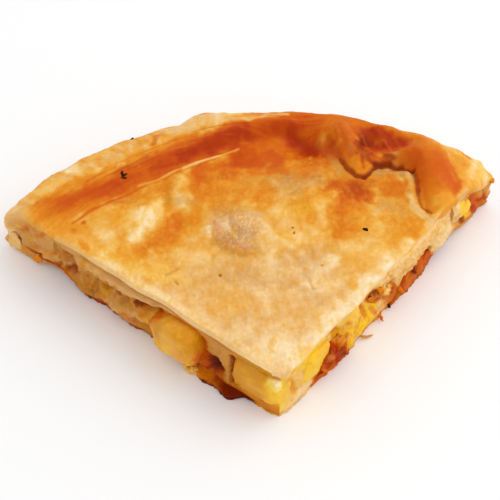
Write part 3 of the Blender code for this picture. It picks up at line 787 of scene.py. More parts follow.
BAND_MARKS = (
    stroke(BAND, 5.2, ORANGE, 1, 0.8, 7),
    stroke(((-40, 104), (-30, 109.5), (-20, 114), (-10, 117.5), (-2, 121)), 2.6, ORANGE, 0.9, end=4),
    stroke(BAND[1:], 3.8, RUSSET, 0.9, end=6),
    stroke(((-42, 105), (-30, 110), (-18, 115), (-6, 119.5)), 1.8, RUSSET, 0.7),
    stroke(((-74, 93), (-62, 98), (-46, 105)), 2.2, BRICK, 0.25, 1.2),
    stroke(((-40, 108), (-32, 112), (-24, 115)), 2.2, BRICK, 0.45, 1.2),
    stroke(((-28, 113.5), (-20, 117), (-10, 120.6), (0, 124.5)), 2.4, BRICK, 0.9, end=3.6),
    stroke(((2, 124), (14, 126), (24, 126)), 2.4, BRICK, 0.45, 1.3),
    stroke(((-89, 88), (-82, 83), (-75, 76)), 5, GOLD, 0.8),
    stroke(((-84, 86), (-77, 82), (-70, 80)), 3.5, AMBER, 0.6, 1.3),
    stroke(((-84, 89), (-76, 89), (-66, 92)), 3, ORANGE, 0.5),
    stroke(((-73, 83), (-66, 88.5), (-58, 93), (-50, 97.5), (-44, 101)), 0.8, RUSSET, 0.7, rise=-0.2),
    stroke(((-74, 86), (-67, 91), (-59, 95.5)), 1.1, AMBER, 0.6),
    stroke(((20, 136.5), (28, 135.5), (40, 131), (54, 127)), 5.4, ORANGE, 0.85, end=5),
    stroke(((22, 140.5), (30, 139.5), (40, 137), (54, 131)), 2, RUSSET, 0.6, end=2),
    stroke(((-9, 130.6), (4, 131.2), (13, 131.2), (20, 131.8)), 2, FILM, 0.9, 1, 1),
    spot(-2, 111.5, 8, 8, 0, RUSSET, 0.8, 1.2), soft(-2, 111.5, 6, 6.5, BRICK, 0.35),
    soft(10.5, 114, 8, 9, RUSSET, 0.65), soft(11, 112, 6, 6, BRICK, 0.15),
    soft(-20.5, 104.5, 4, 5.5, RUSSET, 0.65),
    stroke(((21, 123.5), (26, 120.5), (31, 115.5)), 4.8, RUSSET, 0.8, 1.2, 3.6),
    stroke(((21, 123.5), (26, 120.5), (31, 115.5)), 3.9, BRICK, 0.95, 1.1, 2.6),
    spot(42, 124, 7, 5.5, -15, ORANGE, 0.95),
    stroke(((50, 130), (62, 127), (72, 120)), 5, ORANGE, 0.9, end=4),
    stroke(((56, 128), (66, 124), (73, 117)), 2.2, RUSSET, 0.7),
    stroke(((-46, 101), (-38, 103.5), (-29, 108.5), (-20, 112), (-10, 115), (-3, 118.3)), 0.6, FILM, 0.7,
           1.1, rise=0.2), stroke(((-27, 109), (-20, 112), (-11, 114.7)), 0.9, PALE, 0.8, 1.2, 0.5),
)
LEDGE_MARKS = (
    stroke(((-84, 96), (-70, 103), (-56, 109), (-42, 115), (-22, 124)), 3.4, AMBER, 0.8),
    stroke(((-103, 98), (-97, 93), (-91, 87), (-86, 82)), 6.5, SAND, 0.9, end=2),
    stroke(((-101, 99), (-96, 96)), 2.5, PALE, 0.5, 1.3), spot(-84, 105, 8, 5, 40, STRAW, 0.7),
    spot(-73, 114, 3.5, 6, 20, CREAM, 0.8), spot(-57, 117, 5, 3.5, 25, SAND, 0.6),
    spot(-53, 111, 2, 1.2, 30, CREAM, 0.8), spot(-63, 109, 3, 1.5, 30, CREAM, 0.7),
    spot(-61, 122, 6, 3, 30, STRAW, 0.6), stroke(((-37, 128), (-39, 121)), 1.2, ORANGE, 0.7),
    stroke(((-25, 132), (-16, 136), (-10, 138)), 8, FILM, 0.9, 0.6),
    stroke(((-19, 128), (-19, 143)), 1, GOLD, 0.5), stroke(((-15, 127), (-14, 144)), 0.9, GOLD, 0.5),
    stroke(((-11, 127), (-9.5, 144)), 1.2, PALE, 0.7), stroke(((-17, 142.8), (-9, 143.2)), 0.9, ORANGE, 0.8),
    spot(0, 137, 6.5, 7, 0, STRAW, 0.8), spot(11, 137, 9, 5, 0, FILM, 0.75),
)
# Free edge of the folded flaps; the umber strokes along it are a painted shadow.
FOLD_LINE = ((31, 123), (36, 119), (38.4, 113), (39.4, 106), (41.2, 100), (43.8, 96), (47.5, 95),
             (50.5, 97.4), (53.5, 100.6), (59, 101.2), (65, 100.4), (68.2, 96), (68.6, 89), (67.3, 82),
             (67.6, 76), (70, 71))
FOLD_MARKS = (
    stroke(((47, 122), (56, 119), (66, 114), (75, 107)), 8, ORANGE, 0.95, 0.8),
    spot(49, 117, 5, 7, 0, ORANGE, 1), soft(36, 117, 3, 6, ORANGE, 0.8),
    stroke(((42, 121), (43, 112), (45.4, 102)), 4.2, ORANGE, 1, 0.7, 5.2),
    stroke(((40.6, 121), (41.2, 112), (43, 104)), 1, RUSSET, 0.7, 1.2, rise=-0.3),
    stroke(((42.4, 118), (43, 111), (44.4, 106)), 1.4, ROSE, 0.7, 1.2, rise=0.4),
    spot(44, 109, 2.2, 4.5, 10, RUSSET, 0.5, 1.3), spot(42.6, 112, 3.4, 8, 8, RUSSET, 0.7, 1.3),
    spot(43.5, 108, 1.6, 3, 8, ROSE, 0.6, 1.2),
    stroke(((45.2, 118), (45.8, 111), (47.6, 105)), 0.8, ORANGE, 0.6, 1.2, rise=0.3),
    spot(44, 99.5, 4.2, 3.4, 10, AMBER, 0.9, 1.1, 0.5), spot(49.2, 102, 2.4, 3.2, 20, AMBER, 0.9, 1, 0.5),
    stroke(((47, 103), (47.6, 98.6)), 0.6, RUSSET, 0.7, 1.2, rise=-0.5),
    # Recess behind the lobe: the brick is its baked colour deepened by painted shade, and the umber spot
    # inside it is painted shade of the cavity.
    spot(51.5, 111.5, 5.6, 8.2, 0, BRICK, 1, 0.8), spot(50.5, 111, 4, 7.5, 0, UMBER, 0.85),
    spot(63, 110, 7.2, 7.4, 0, BRICK, 1, 0.8),
    stroke(((55, 118), (62, 115.5), (67, 110), (70, 104)), 2.2, BRICK, 1, 1, 1.4),
    spot(64, 111, 4, 5, 0, BRICK, 0.8),
    stroke(((50, 124), (60, 121.5), (70, 116), (78, 110)), 2, ORANGE, 0.9, 1),
    # Thin orange lines on the ridges of the recess are painted highlights, with a slight rise.
    stroke(((50.5, 117), (52, 111), (53.4, 105)), 0.5, ORANGE, 0.5, 1.2, rise=0.3),
    stroke(((54.5, 118), (59.6, 113), (60.4, 106)), 0.7, ORANGE, 0.5, 1.4, rise=0.35),
    stroke(((57, 118.5), (62, 116.8), (67, 113.8), (71.5, 110.5)), 2.2, BRICK, 0.85, 1, 1.8),
    spot(48.5, 118.5, 2.6, 2.6, 0, RUSSET, 0.8, 1.2), spot(55.4, 107.5, 3, 3, 0, BRICK, 0.7, 1.2),
    # Painted highlight on a ridge of the recess, with a slight rise.
    stroke(((63.8, 115), (65, 111), (64.6, 106)), 0.6, ORANGE, 0.6, 1.2, rise=0.3),
    stroke(((67, 117), (68.6, 110), (67.4, 104)), 1.2, RUSSET, 0.8, 1.1, rise=0.3),
    stroke(((51.5, 109), (56, 106.5), (60, 105.6)), 2.8, RUSSET, 0.95, 1.1, 2),
    # The umber spot along y 102.8 is a painted shadow in the gap under the small fold.
    spot(63.5, 104.6, 3.6, 2, 8, GREYTAN, 0.8), spot(59, 102.8, 6, 1.2, 4, UMBER, 0.6),
    stroke(((51.5, 104.5), (55, 103.4), (58, 101.8)), 0.9, RUSSET, 0.8),
    # Umber line: painted shadow under the small fold's edge.
    stroke(((52.5, 101.6), (56, 101.4), (60, 101.6)), 0.8, UMBER, 0.6),
    stroke(((52, 97), (60, 98), (66, 96)), 2.8, GREYTAN, 0.9),
    stroke(((70, 105), (74, 98), (76, 88), (75, 76)), 8, ORANGE, 1, 0.5, 7),
    stroke(((68, 105), (70.5, 101), (71.5, 95)), 2.8, RUSSET, 0.8, 1.2), soft(76.5, 106, 5, 4, AMBER, 0.7),
    spot(75.5, 92, 6.5, 9, 10, RUSSET, 0.65, 1.4),
    stroke(((69.5, 97), (68.8, 88), (69, 80)), 1.2, RUSSET, 0.6), spot(71, 86, 3.5, 9, 5, ORANGE, 0.6, 1.3),
    spot(75.5, 79, 6.5, 6.5, 0, AMBER, 0.95, 1.4), spot(74.5, 74.5, 5, 4, 0, GOLD, 0.9, 1.4),
    spot(78, 84, 2.5, 4.5, 0, GOLD, 0.4, 1.4),
    stroke(((71, 122), (84, 111), (96, 100)), 8, AMBER, 0.95, 0.8),
    stroke(((84, 107), (90, 98), (88.5, 88)), 5.5, OCHRE, 0.35),
    stroke(((84, 107), (90, 98), (88.5, 88)), 5.5, GOLD, 0.9),
    stroke(((86, 108), (93, 101)), 2.2, STRAW, 0.7), spot(77, 90, 8, 11, 0, RUSSET, 0.4, 1.1),
    spot(81.5, 89, 3.6, 9.5, 5, RUSSET, 0.6, 1.1),
    stroke(((77.5, 99.5), (83.4, 93.5), (85.2, 86), (83.6, 78.5)), 1.6, RUSSET, 0.6, 0.9, 1.2),
    # Straw line along the teardrop's right edge: a painted highlight.
    stroke(((84, 100.5), (88, 94), (89.6, 86.5)), 1.2, STRAW, 0.6, 1.1, 1),
    # The pale and straw strokes and the pale spot at (99.5, 98), right of the teardrop, are painted
    # highlights on small ridges.
    stroke(((98, 103), (95, 97), (91, 91)), 2.2, PALE, 0.9, 1.2, rise=0.3),
    spot(99.5, 98, 4, 5, 0, PALE, 0.9, 1), spot(68.5, 78, 2.6, 4, 0, AMBER, 0.9, 1.1),
    stroke(((100, 101), (98, 96), (95, 92)), 1.5, STRAW, 0.8, 1.2, rise=0.3),
    stroke(((66.6, 95), (66, 90), (63.8, 83), (64.2, 77), (67, 71), (71, 67.6)), 1.5, FILM, 1, 1.1),
    stroke(((68, 67), (73, 69), (78, 73), (83, 78), (88, 83.4)), 2, FILM, 1, 0.8, 1.4),
    stroke(((31.5, 119.5), (34.6, 113), (36.6, 106.5), (38.4, 100.5), (40.6, 96)), 1.1, DOUGH, 0.5, 1.3,
           1.5, 0.4), spot(36, 113.5, 2.4, 4, 20, BRICK, 0.55, 1.2), soft(56.4, 108.5, 4, 4, BRICK, 0.5),
    spot(66, 110.8, 4.5, 3.6, -30, BRICK, 0.75, 1.2), spot(78.2, 74.5, 4.4, 5.5, 0, STRAW, 0.8, 1.2),
    spot(78.2, 74.5, 4.4, 5.5, 0, AMBER, 0.6, 1.2), spot(71.5, 71.5, 3.6, 3, 0, AMBER, 0.8, 1.2),
    soft(79.5, 87, 4, 5.5, RUSSET, 0.5), soft(84, 85, 3.5, 4.5, RUSSET, 0.35),
    soft(60, 88, 5.5, 4.5, ORANGE, 0.75), soft(88, 96, 5, 7.5, AMBER, 0.55),
    # Umber strokes along the fold line: painted shadow under the free edge of the folded flaps, with a
    # shallow groove.
    stroke(FOLD_LINE[1:4], 0.7, UMBER, 0.2, 1.2, 0.8, -0.3),
    stroke(FOLD_LINE[3:7], 0.8, UMBER, 0.55, 1, 0.8, -0.3),
    stroke(FOLD_LINE[6:12], 0.9, UMBER, 0.7, 1, 0.9, -0.5),
    stroke(FOLD_LINE[11:], 0.9, UMBER, 0.4, 1, 0.7, -0.4),
)
SPECKS = (
    spot(-17, 48.5, 0.7, 0.45, 20, UMBER, 0.8, 0.6), spot(13.8, 70.4, 0.5, 0.5, 0, UMBER, 0.7, 0.6),
    spot(14.1, 67.6, 0.5, 0.6, 0, UMBER, 0.6, 0.6), spot(22.5, 50.5, 0.6, 0.5, 0, ORANGE, 0.7, 0.6),
)

# Stains, painted shade and fine relief of the cut faces: distance from the tip, height, half sizes.
LEFT_FACE = (
    stroke(((0, 26), (35, 26.5), (70, 25), (98, 25)), 3, DOUGH, 0.8), spot(10, 14, 12, 13, 0, OCHRE, 0.9),
    spot(1, 14, 4, 13, 0, YELLOW, 0.9), stroke(((3, 4), (10, 2.5), (20, 2)), 3, ORANGE, 0.6),
    spot(27.5, 19, 6.5, 9, 0, DOUGH, 0.95, rise=0.8),
    stroke(((21.3, 22), (21.5, 14), (22, 5)), 1.2, UMBER, 0.7, rise=-1.6),
    spot(24.5, 7, 2.5, 5, 0, DOUGH, 0.8, rise=0.4), spot(29, 2.5, 6, 3, 0, RUSSET, 0.7),
    # Russet band at 35 mm: painted shade on the shaded left side of the potato, with a groove.
    stroke(((35.3, 21), (35.5, 13), (35.5, 4)), 1.9, RUSSET, 0.95, rise=-1.2),
    # Russet line along the potato's upper edge: painted shade.
    stroke(((36, 22), (40, 25), (46, 24.5), (53, 21), (57, 16)), 1.2, RUSSET, 0.7),
    spot(60, 10, 3, 8, 10, OCHRE, 0.8),
    # Umber stroke in the pocket right of the potato: painted shade in the hole, with a dent.
    stroke(((57.5, 20.8), (62, 19.4), (69, 16.6)), 2.2, UMBER, 1.1, 0.8, 1.4, -2.6),
    stroke(((50, 25), (58, 24.6), (66, 22.5), (74, 21)), 1.2, SAND, 0.8, rise=0.5),
    spot(61, 14.2, 6, 3.4, -25, OCHRE, 0.9, rise=1),
    stroke(((62, 13.5), (67, 12), (71, 10)), 1.3, SAND, 0.7, rise=0.8),
    spot(66, 6.5, 4, 3.5, 0, OLIVE, 0.5, rise=-1), spot(62, 15.2, 4, 1.4, -25, STRAW, 0.6, rise=0.5),
    spot(72, 8, 2.4, 3, 0, ROSE, 0.7, rise=0.6),
    stroke(((60, 24.5), (74, 23.4), (84, 22.4), (98, 22.2)), 3.2, GREYTAN, 0.95, 0.9, rise=1.4),
    stroke(((60, 24.4), (76, 22.8), (98, 22)), 1.6, SAND, 0.6, 1.2),
    spot(93, 25, 6, 2.5, 0, STRAW, 0.6, 1.2), spot(65, 16, 4, 2.6, -20, AMBER, 0.7, 1.2),
    stroke(((72, 12), (79, 9), (85, 7), (92, 8)), 1.6, SAND, 0.65, rise=0.9),
    stroke(((73.5, 17), (76, 13)), 1.2, OLIVE, 1, rise=-1.6),
    # Umber stroke in a pocket: painted shade, with a dent.
    stroke(((78, 17.5), (82, 16.5), (86, 14)), 1.5, UMBER, 0.7, rise=-2),
    spot(80, 10.5, 3.5, 3, 0, SAND, 0.5, rise=0.7), spot(86.5, 12.5, 3, 4, 20, OCHRE, 0.8, rise=0.7),
    stroke(((89.5, 17), (91, 10), (94, 4)), 1.2, OLIVE, 0.8, rise=-1.6),
    spot(85, 1.8, 7, 2, 3, BRICK, 0.95, 0.8),
    stroke(((94, 24), (97, 16), (98, 6)), 2.6, MASH, 0.6, rise=0.9),
    stroke(((98.5, 20), (101, 16), (106, 12), (113, 10)), 1.8, GREYTAN, 0.9, 0.8, 1.4, -1.2),
    soft(80, 13, 20, 7, GREYTAN, 0.4),
    # Umber line under the recess near the rim end: painted shade, with a dent.
    stroke(((99.5, 15), (103, 11.5), (108, 9.5)), 1.2, UMBER, 0.45, rise=-0.6),
    # The umber spot at (32, 7) and the wine spot at (31.5, 6) darken the hole: painted shade, with a dent.
    spot(33.8, 5.5, 4.6, 4, 0, RUSSET, 0.9, 1), spot(32, 7, 3.8, 4.4, 0, UMBER, 1.1, 0.9, -1.6),
    stroke(((88, 8), (96, 8.6), (104, 9.6)), 1.6, MASH, 0.8, 1.1), spot(31.5, 6, 1.4, 2.2, 0, WINE, 0.4),
)
RIGHT_FACE = (
    spot(5, 14, 6, 14, 0, STRAW, 0.9), spot(1, 15, 2.5, 12, 0, YELLOW, 0.8),
    stroke(((5, 21), (7, 14), (9, 9)), 1.4, AMBER, 0.7, rise=-0.5), spot(12, 4, 9, 4, 0, PALE, 0.9),
    stroke(((3, 26), (30, 26), (70, 25.5), (108, 25)), 1.6, PALE, 0.7), spot(18, 24, 10, 3, 0, YELLOW, 0.8),
    spot(46, 15, 14, 11, 0, YELLOW, 0.9), spot(44, 17, 9, 7, 0, STRAW, 0.6),
    spot(39.5, 14.5, 4, 4, 0, STRAW, 0.7, 1.2), spot(35.5, 17, 3, 3, 0, GOLD, 0.7, 1.2),
    spot(38.5, 21, 1.3, 1, 0, ORANGE, 0.8), spot(43, 14, 1, 1.4, 20, AMBER, 0.9),
    spot(47, 20.5, 1.4, 0.9, 0, ORANGE, 0.7), spot(40.5, 17.5, 0.8, 1, 0, RUSSET, 0.7),
    stroke(((29.5, 26), (33, 20), (38, 13)), 1.5, AMBER, 0.85, rise=-0.8),
    stroke(((34, 22), (40, 14), (46, 6)), 1.2, GOLD, 0.7), spot(42, 20, 4, 4, 0, STRAW, 0.7, rise=1),
    spot(50, 10, 5, 5, 30, YELLOW, 0.8, rise=1.2), spot(56, 8, 3.5, 4, 0, YELLOW, 0.7, rise=0.8),
    stroke(((46.5, 24), (49, 17), (51, 13)), 1.3, AMBER, 0.8, rise=-1),
    stroke(((42, 10), (45, 12), (46, 17)), 0.9, GOLD, 0.7, rise=-1.2),
    stroke(((55, 13), (58, 8), (60, 5)), 1.2, AMBER, 0.7, rise=-1), spot(46, 3, 8, 2.4, 6, FILM, 0.8),
    stroke(((50.5, 24), (56, 21), (62, 16.5), (68, 10.5), (75, 6)), 1.8, RUSSET, 0.95, 0.9, 3),
    spot(31, 6, 9, 8, 0, ORANGE, 0.9), spot(23.5, 4, 3, 6, 20, BRICK, 0.9, rise=-0.6),
    spot(21.5, 2, 2, 3, 0, RUSSET, 0.7), stroke(((72, 17), (84, 17), (92, 19)), 3.2, SAND, 0.7, rise=0.8),
    stroke(((70, 22), (82, 22.5), (98, 21)), 2.4, FILM, 0.8, rise=0.7),
    stroke(((72, 19.5), (78, 18.5), (86, 16)), 0.9, GOLD, 0.5, rise=-0.6),
    stroke(((87, 18.5), (91, 16), (96, 13)), 1.6, OLIVE, 0.9, 0.9, rise=-0.6),
    spot(86, 5, 18, 5, 0, RUSSET, 0.95, 0.6), spot(86, 6, 18, 5, 0, DOUGH, 0.4, 0.8),
    spot(105, 12, 7, 10, 0, PALE, 0.9, rise=0.8), spot(40.2, 14.2, 3.6, 3.4, 0, YELLOW, 0.8, 1.2),
    spot(35.6, 16.7, 3, 3, 0, YELLOW, 0.7, 1.2),
)
# The left rim end is painted in darker tans than the right end: partly the rolled dough's colour, partly
# painted shade of the shaded left side.
LEFT_END = (
    spot(118, 15, 26, 16, 0, DOUGH, 0.6), stroke(((98, 22.5), (104, 22)), 3.2, GREYTAN, 0.9, rise=1),
    stroke(((101, 24), (110, 22), (120, 17), (132, 12)), 2.4, GREYTAN, 0.8, rise=0.9),
    spot(108, 15, 9, 5, -20, GREYTAN, 0.5, 1.3),
    stroke(((116, 25.5), (121, 21)), 0.9, RUSSET, 0.35, rise=-0.4),
    spot(115.5, 15.5, 3.5, 2.4, -30, OCHRE, 0.9, rise=0.6),
    stroke(((108, 18), (116, 13), (124, 8)), 1, RUSSET, 0.5, rise=-1.2),
    spot(109, 10.4, 4.5, 2, -30, RUSSET, 0.45, rise=-0.8),
    stroke(((100, 8.2), (107, 8.2), (113, 8.4)), 1.5, MASH, 0.9, 1.1),
    stroke(((99, 5.5), (108, 6.4)), 1.6, UMBER, 0.5, 1.2),
    # The brick stroke and the umber spot under the recess at 104 mm are painted shade of its underside, with
    # a dent.
    stroke(((100, 11.6), (105, 10.6), (111, 10)), 2.2, BRICK, 0.8, 1.1, 1.2, -0.6),
    spot(104, 10.6, 3.2, 1.4, -10, UMBER, 0.6, 1.1), spot(124, 9, 3.5, 1.5, 0, RUSSET, 0.5, rise=-1),
    stroke(((102, 6), (112, 7.4), (124, 7), (136, 9)), 1.1, UMBER, 0.55, 1, 1.2),
    stroke(((104, 20), (112, 17.5), (120, 13.5)), 0.8, MASH, 0.7, rise=-0.9),
    spot(119, 11.5, 4, 2, -20, SAND, 0.6, rise=0.8), spot(111, 14.6, 4, 1.6, -25, SAND, 0.5, rise=0.7),
    spot(126, 16, 3, 2, -30, OCHRE, 0.6, rise=0.5),
    stroke(((127, 21), (132, 17), (136, 12)), 1, RUSSET, 0.45, rise=-1), spot(133, 20, 4, 3, -40, GOLD, 0.6),
    spot(130, 5, 4, 2.5, 0, AMBER, 0.6), spot(138, 10, 5, 6, 0, PALE, 0.9),
)
RIGHT_END = (
    spot(110, 14, 11, 14, 0, FILM, 0.9), stroke(((104, 24), (112, 22), (119, 19)), 2.2, PALE, 0.8, rise=0.8),
    stroke(((106, 16), (113, 14), (118, 9)), 0.8, GOLD, 0.5, rise=-0.6),
    stroke(((119.5, 19), (122.5, 14), (125.5, 9)), 2.6, YELLOW, 0.95, 0.8),
    spot(123.5, 7, 2.5, 1.3, -35, UMBER, 0.8, rise=-0.8),
    stroke(((126, 19), (130, 14), (134, 9), (139, 3)), 3.4, ORANGE, 1, 0.8, 4.2, -0.8),
    stroke(((128, 18), (132, 12), (136, 8)), 1.5, RUSSET, 0.8, rise=-0.9),
    stroke(((131, 10), (134, 6), (137, 1)), 1.6, BRICK, 0.8, rise=0.7),
    spot(134.5, 14, 2.6, 1.8, -30, AMBER, 0.8, rise=0.8), spot(140.5, 6.5, 4, 2.4, -15, BRICK, 0.8),
    stroke(((126, 25), (132, 20.5), (138, 17)), 1.8, FILM, 0.85, rise=0.6),
    spot(127, 21, 3, 2, 0, GOLD, 0.9), stroke(((138, 14), (141, 9)), 1, RUSSET, 0.7, rise=-0.7),
    spot(121, 3, 3, 4, 0, AMBER, 0.8), spot(106, 26.5, 6, 3.4, 0, AMBER, 0.85, 1.2),
)
# Stains of the base's cut edges.
LEFT_BASE_EDGE = (
    stroke(((0, 1), (14, 1)), 3.5, OCHRE, 1), stroke(((16, 5.5), (28, 5.5), (41, 5.5)), 2, DOUGH, 0.9),
    stroke(((14, 0.8), (27, 1), (41, 0.8)), 3.2, UMBER, 1.2, 0.5),
    stroke(((14, 0), (27, -0.2), (41, 0)), 1.6, WINE, 1, 0.8),
    stroke(((42, 1), (60, 1), (78, 1)), 2.6, MASH, 0.9),
    stroke(((42, -0.4), (70, -0.4), (104, 1.6)), 1.4, UMBER, 0.9, 0.8),
    stroke(((79, 2.4), (92, 3.2)), 2.2, RUSSET, 0.5),
    stroke(((42, 1.8), (36, 1.6), (31, 3.2)), 2.6, AMBER, 0.95, 0.8, 1),
    spot(32, 2, 7, 2.2, 0, AMBER, 0.8, 1.2), stroke(((52, 2.6), (66, 2.8), (80, 3.6)), 1.5, DOUGH, 0.7, 1.1),
    spot(101, 5, 7, 5, 0, OLIVE, 0.85),
)
RIGHT_BASE_EDGE = (
    stroke(((0, 1), (17, 1)), 3.5, FILM, 1), stroke(((22, 1), (38, 1)), 3, ORANGE, 0.8),
    stroke(((36, 3), (48, 1.2)), 3, FILM, 0.9), stroke(((47, 1), (66, 2)), 3, GOLD, 0.9),
    stroke(((73, 8), (74, 2)), 1, ORANGE, 0.9), stroke(((76.5, 9), (78, 2)), 0.9, BRICK, 0.9),
    stroke(((80, 10), (82, 3)), 1.2, ORANGE, 0.8), stroke(((83.5, 14), (86, 9), (91, 2)), 1.1, UMBER, 0.85),
    stroke(((88, 7), (93, 1)), 1.2, ORANGE, 0.7), stroke(((93, 7), (95, 2)), 1, BRICK, 0.8),
    stroke(((97, 6), (102, 3)), 1.6, BRICK, 0.7), stroke(((75, 1), (100, 1)), 0.9, AMBER, 0.6),
    stroke(((75, 5), (100, 4)), 5, DOUGH, 0.3, 1.1),
)


@dataclass
class TopPastry:
    """Baked sheet on top with its folded band, and the rolled rim in one piece with it.

    Rings of points stand one behind the other from the tip to the rim's foot. Each ring runs over the top
    from the left cut to the right, down the right cut, back underneath and up the left cut. The upper
    half of the rings climbs the tip's front edge, crosses the top and goes down the rim's outer wall. The
    lower half follows the sheet's underside, the rim's inner wall and its foot.
    """

    top_samples: int = 306
    wall_samples: int = 30
    under_samples: int = 13
    front_stations: int = 116
    back_stations: int = 108
    rim_stations: int = 20
    front_end: float = 0.6 * PAN_RADIUS
    edge_rounding: float = 0.0014
    edge_drop: float = 0.0007
    seed: int = 5

    def top_bearings(self) -> np.ndarray:
        """Bearings across the top, closer together over the loose folds and at both cuts."""
        fine = np.radians(np.linspace(-HALF_DEGREES, HALF_DEGREES, 4000))
        degrees = np.degrees(fine)
        density = 1.0 + 0.7 * smooth_step((degrees - 6.0) / 8.0)
        density += 2.5 * np.exp(-((HALF_DEGREES - np.abs(degrees)) / 0.6) ** 2)
        total = np.cumsum(density)
        return np.interp(np.linspace(total[0], total[-1], self.top_samples), total, fine)

    def stations(self) -> tuple[np.ndarray, np.ndarray, np.ndarray]:
        """Upper radius, upper share of the height and lower radius of each ring, without the blunt tip.

        Returns:
            Three arrays with one value for each ring.
        """
        front = np.linspace(0.0003, self.front_end, self.front_stations)
        back = np.linspace(self.front_end, PAN_RADIUS, self.back_stations + 1)[1:]
        wall = np.full(self.rim_stations, PAN_RADIUS)
        upper = np.concatenate([[0.0, 0.00005, 0.00015], front, back, wall])
        fall = 1.0 - np.linspace(0.0, 0.985, self.rim_stations + 1)[1:]
        share = np.concatenate([[0.1, 0.45, 0.85], np.ones(len(front) + len(back)), fall])
        rolled = upper > ROLL_START
        rolled[-self.rim_stations:] = True
        count = rolled.sum()
        foot_run = PAN_RADIUS - ROLL_START - ROLL_WALL
        wall_height = TOP_LEVEL - ARCH_HEIGHT
        travel = np.linspace(0.0, wall_height + foot_run, count + 1)[1:]
        lower = upper.copy()
        lower[rolled] = np.where(
            travel < wall_height,
            ROLL_START + ROLL_WALL * travel / wall_height,
            ROLL_START + ROLL_WALL + (travel - wall_height),
        )
        return upper, share, lower

    def underside(self, radius: np.ndarray) -> np.ndarray:
        """Height of the underside: level over the filling, then the inner wall and the foot of the rim."""
        sheet = TOP_LEVEL - SHEET_THICKNESS
        arch = smooth_step((ARCH_END - radius) / (ARCH_END - ROLL_START))
        foot = RIM_FOOT_LEVEL + (ARCH_HEIGHT - RIM_FOOT_LEVEL) * arch
        return sheet + (foot - sheet) * smooth_step((radius - ROLL_START) / ROLL_WALL)

    def rim_radius(self, radius: np.ndarray, bearing: np.ndarray, height: np.ndarray,
                   share: np.ndarray) -> np.ndarray:
        """Radius with the rim's undercut, reach and ragged edge.

        Args:
            radius: Radius before, in metres.
            bearing: Angle from the middle line in radians.
            height: Height in metres.
            share: Share of the height between the foot, 0, and the top, 1.

        Returns:
            The radius less undercut * (1 - sin(90 degrees * share^0.7)), plus the ragged reach outside.
        """
        x = radius * np.sin(bearing)
        y = radius * np.cos(bearing)
        undercut = read_table(RIM_UNDERCUT, bearing) * (1.0 - np.sin(0.5 * math.pi * share ** 0.7))
        towards_edge = smooth_step((radius - RIM_UNDERCUT_START) / (PAN_RADIUS - RIM_UNDERCUT_START))
        ragged = 1.6 * MM * ripple(x, y, 3.0 * height, 41, 0.013) * (1.0 - 0.6 * share)
        reach = ragged + read_table(RIM_REACH, bearing)
        return radius - undercut * towards_edge + reach * towards_edge ** 3

    def fine_top(self, radius: np.ndarray, bearing: np.ndarray) -> np.ndarray:
        """Wrinkles of the sheet, streaks of the band and flakes of the outer slope, each from noise.

        Args:
            radius: Distance from the tip in metres.
            bearing: Angle from the middle line in radians.

        Returns:
            The relief in metres.
        """
        noise = Noise(self.seed)
        flat = np.stack([radius * np.sin(bearing) / MM, radius * np.cos(bearing) / MM, 0.0 * radius], axis=1)
        round_rim = unrolled(bearing, radius)
        inner = read_table(BAND_INNER, bearing)
        outer = read_table(BAND_OUTER, bearing)
        on_band = smooth_step((radius - inner) / 0.004) * smooth_step((outer + 0.002 - radius) / 0.004)
        on_slope = smooth_step((radius - outer) / 0.004)
        wrinkles = 0.16 * noise(flat, 5.0, 3) + 0.05 * noise(flat + 40.0, 1.5)
        on_band *= smooth_step((40.0 - flat[:, 0]) / 10.0)
        streaks = 0.22 * noise(round_rim + 11.0, (16.0, 1.7, 1.0), 2)
        flakes = 0.55 * (0.5 - np.abs(noise(round_rim + 23.0, (9.0, 2.6, 1.0), 2)))
        flakes += 0.25 * noise(round_rim + 5.0, (2.4, 3.0, 1.0), 2)
        return MM * (wrinkles * smooth_step(radius / 0.01) + streaks * on_band + flakes * on_slope)

    def build(self) -> bpy.types.Object:
        """Make the pastry.

        Returns:
            The finished piece, standing for crust_top.
        """
        top = self.top_bearings()
        walls = np.linspace(0.0, 1.0, self.wall_samples + 2)[1:-1]
        under = np.linspace(HALF_ANGLE, -HALF_ANGLE, self.under_samples)
        right_wall = np.full(len(walls), HALF_ANGLE)
        bearing = np.concatenate([top, right_wall, under, -right_wall])
        level = np.concatenate([np.ones(len(top)), 1.0 - walls, np.zeros(len(under)), walls])
        upper, share, lower = self.stations()
        rings, around = len(upper), len(bearing)

        def spread(values: np.ndarray) -> np.ndarray:
            """One value for each ring, repeated round it."""
            return np.repeat(values, around)

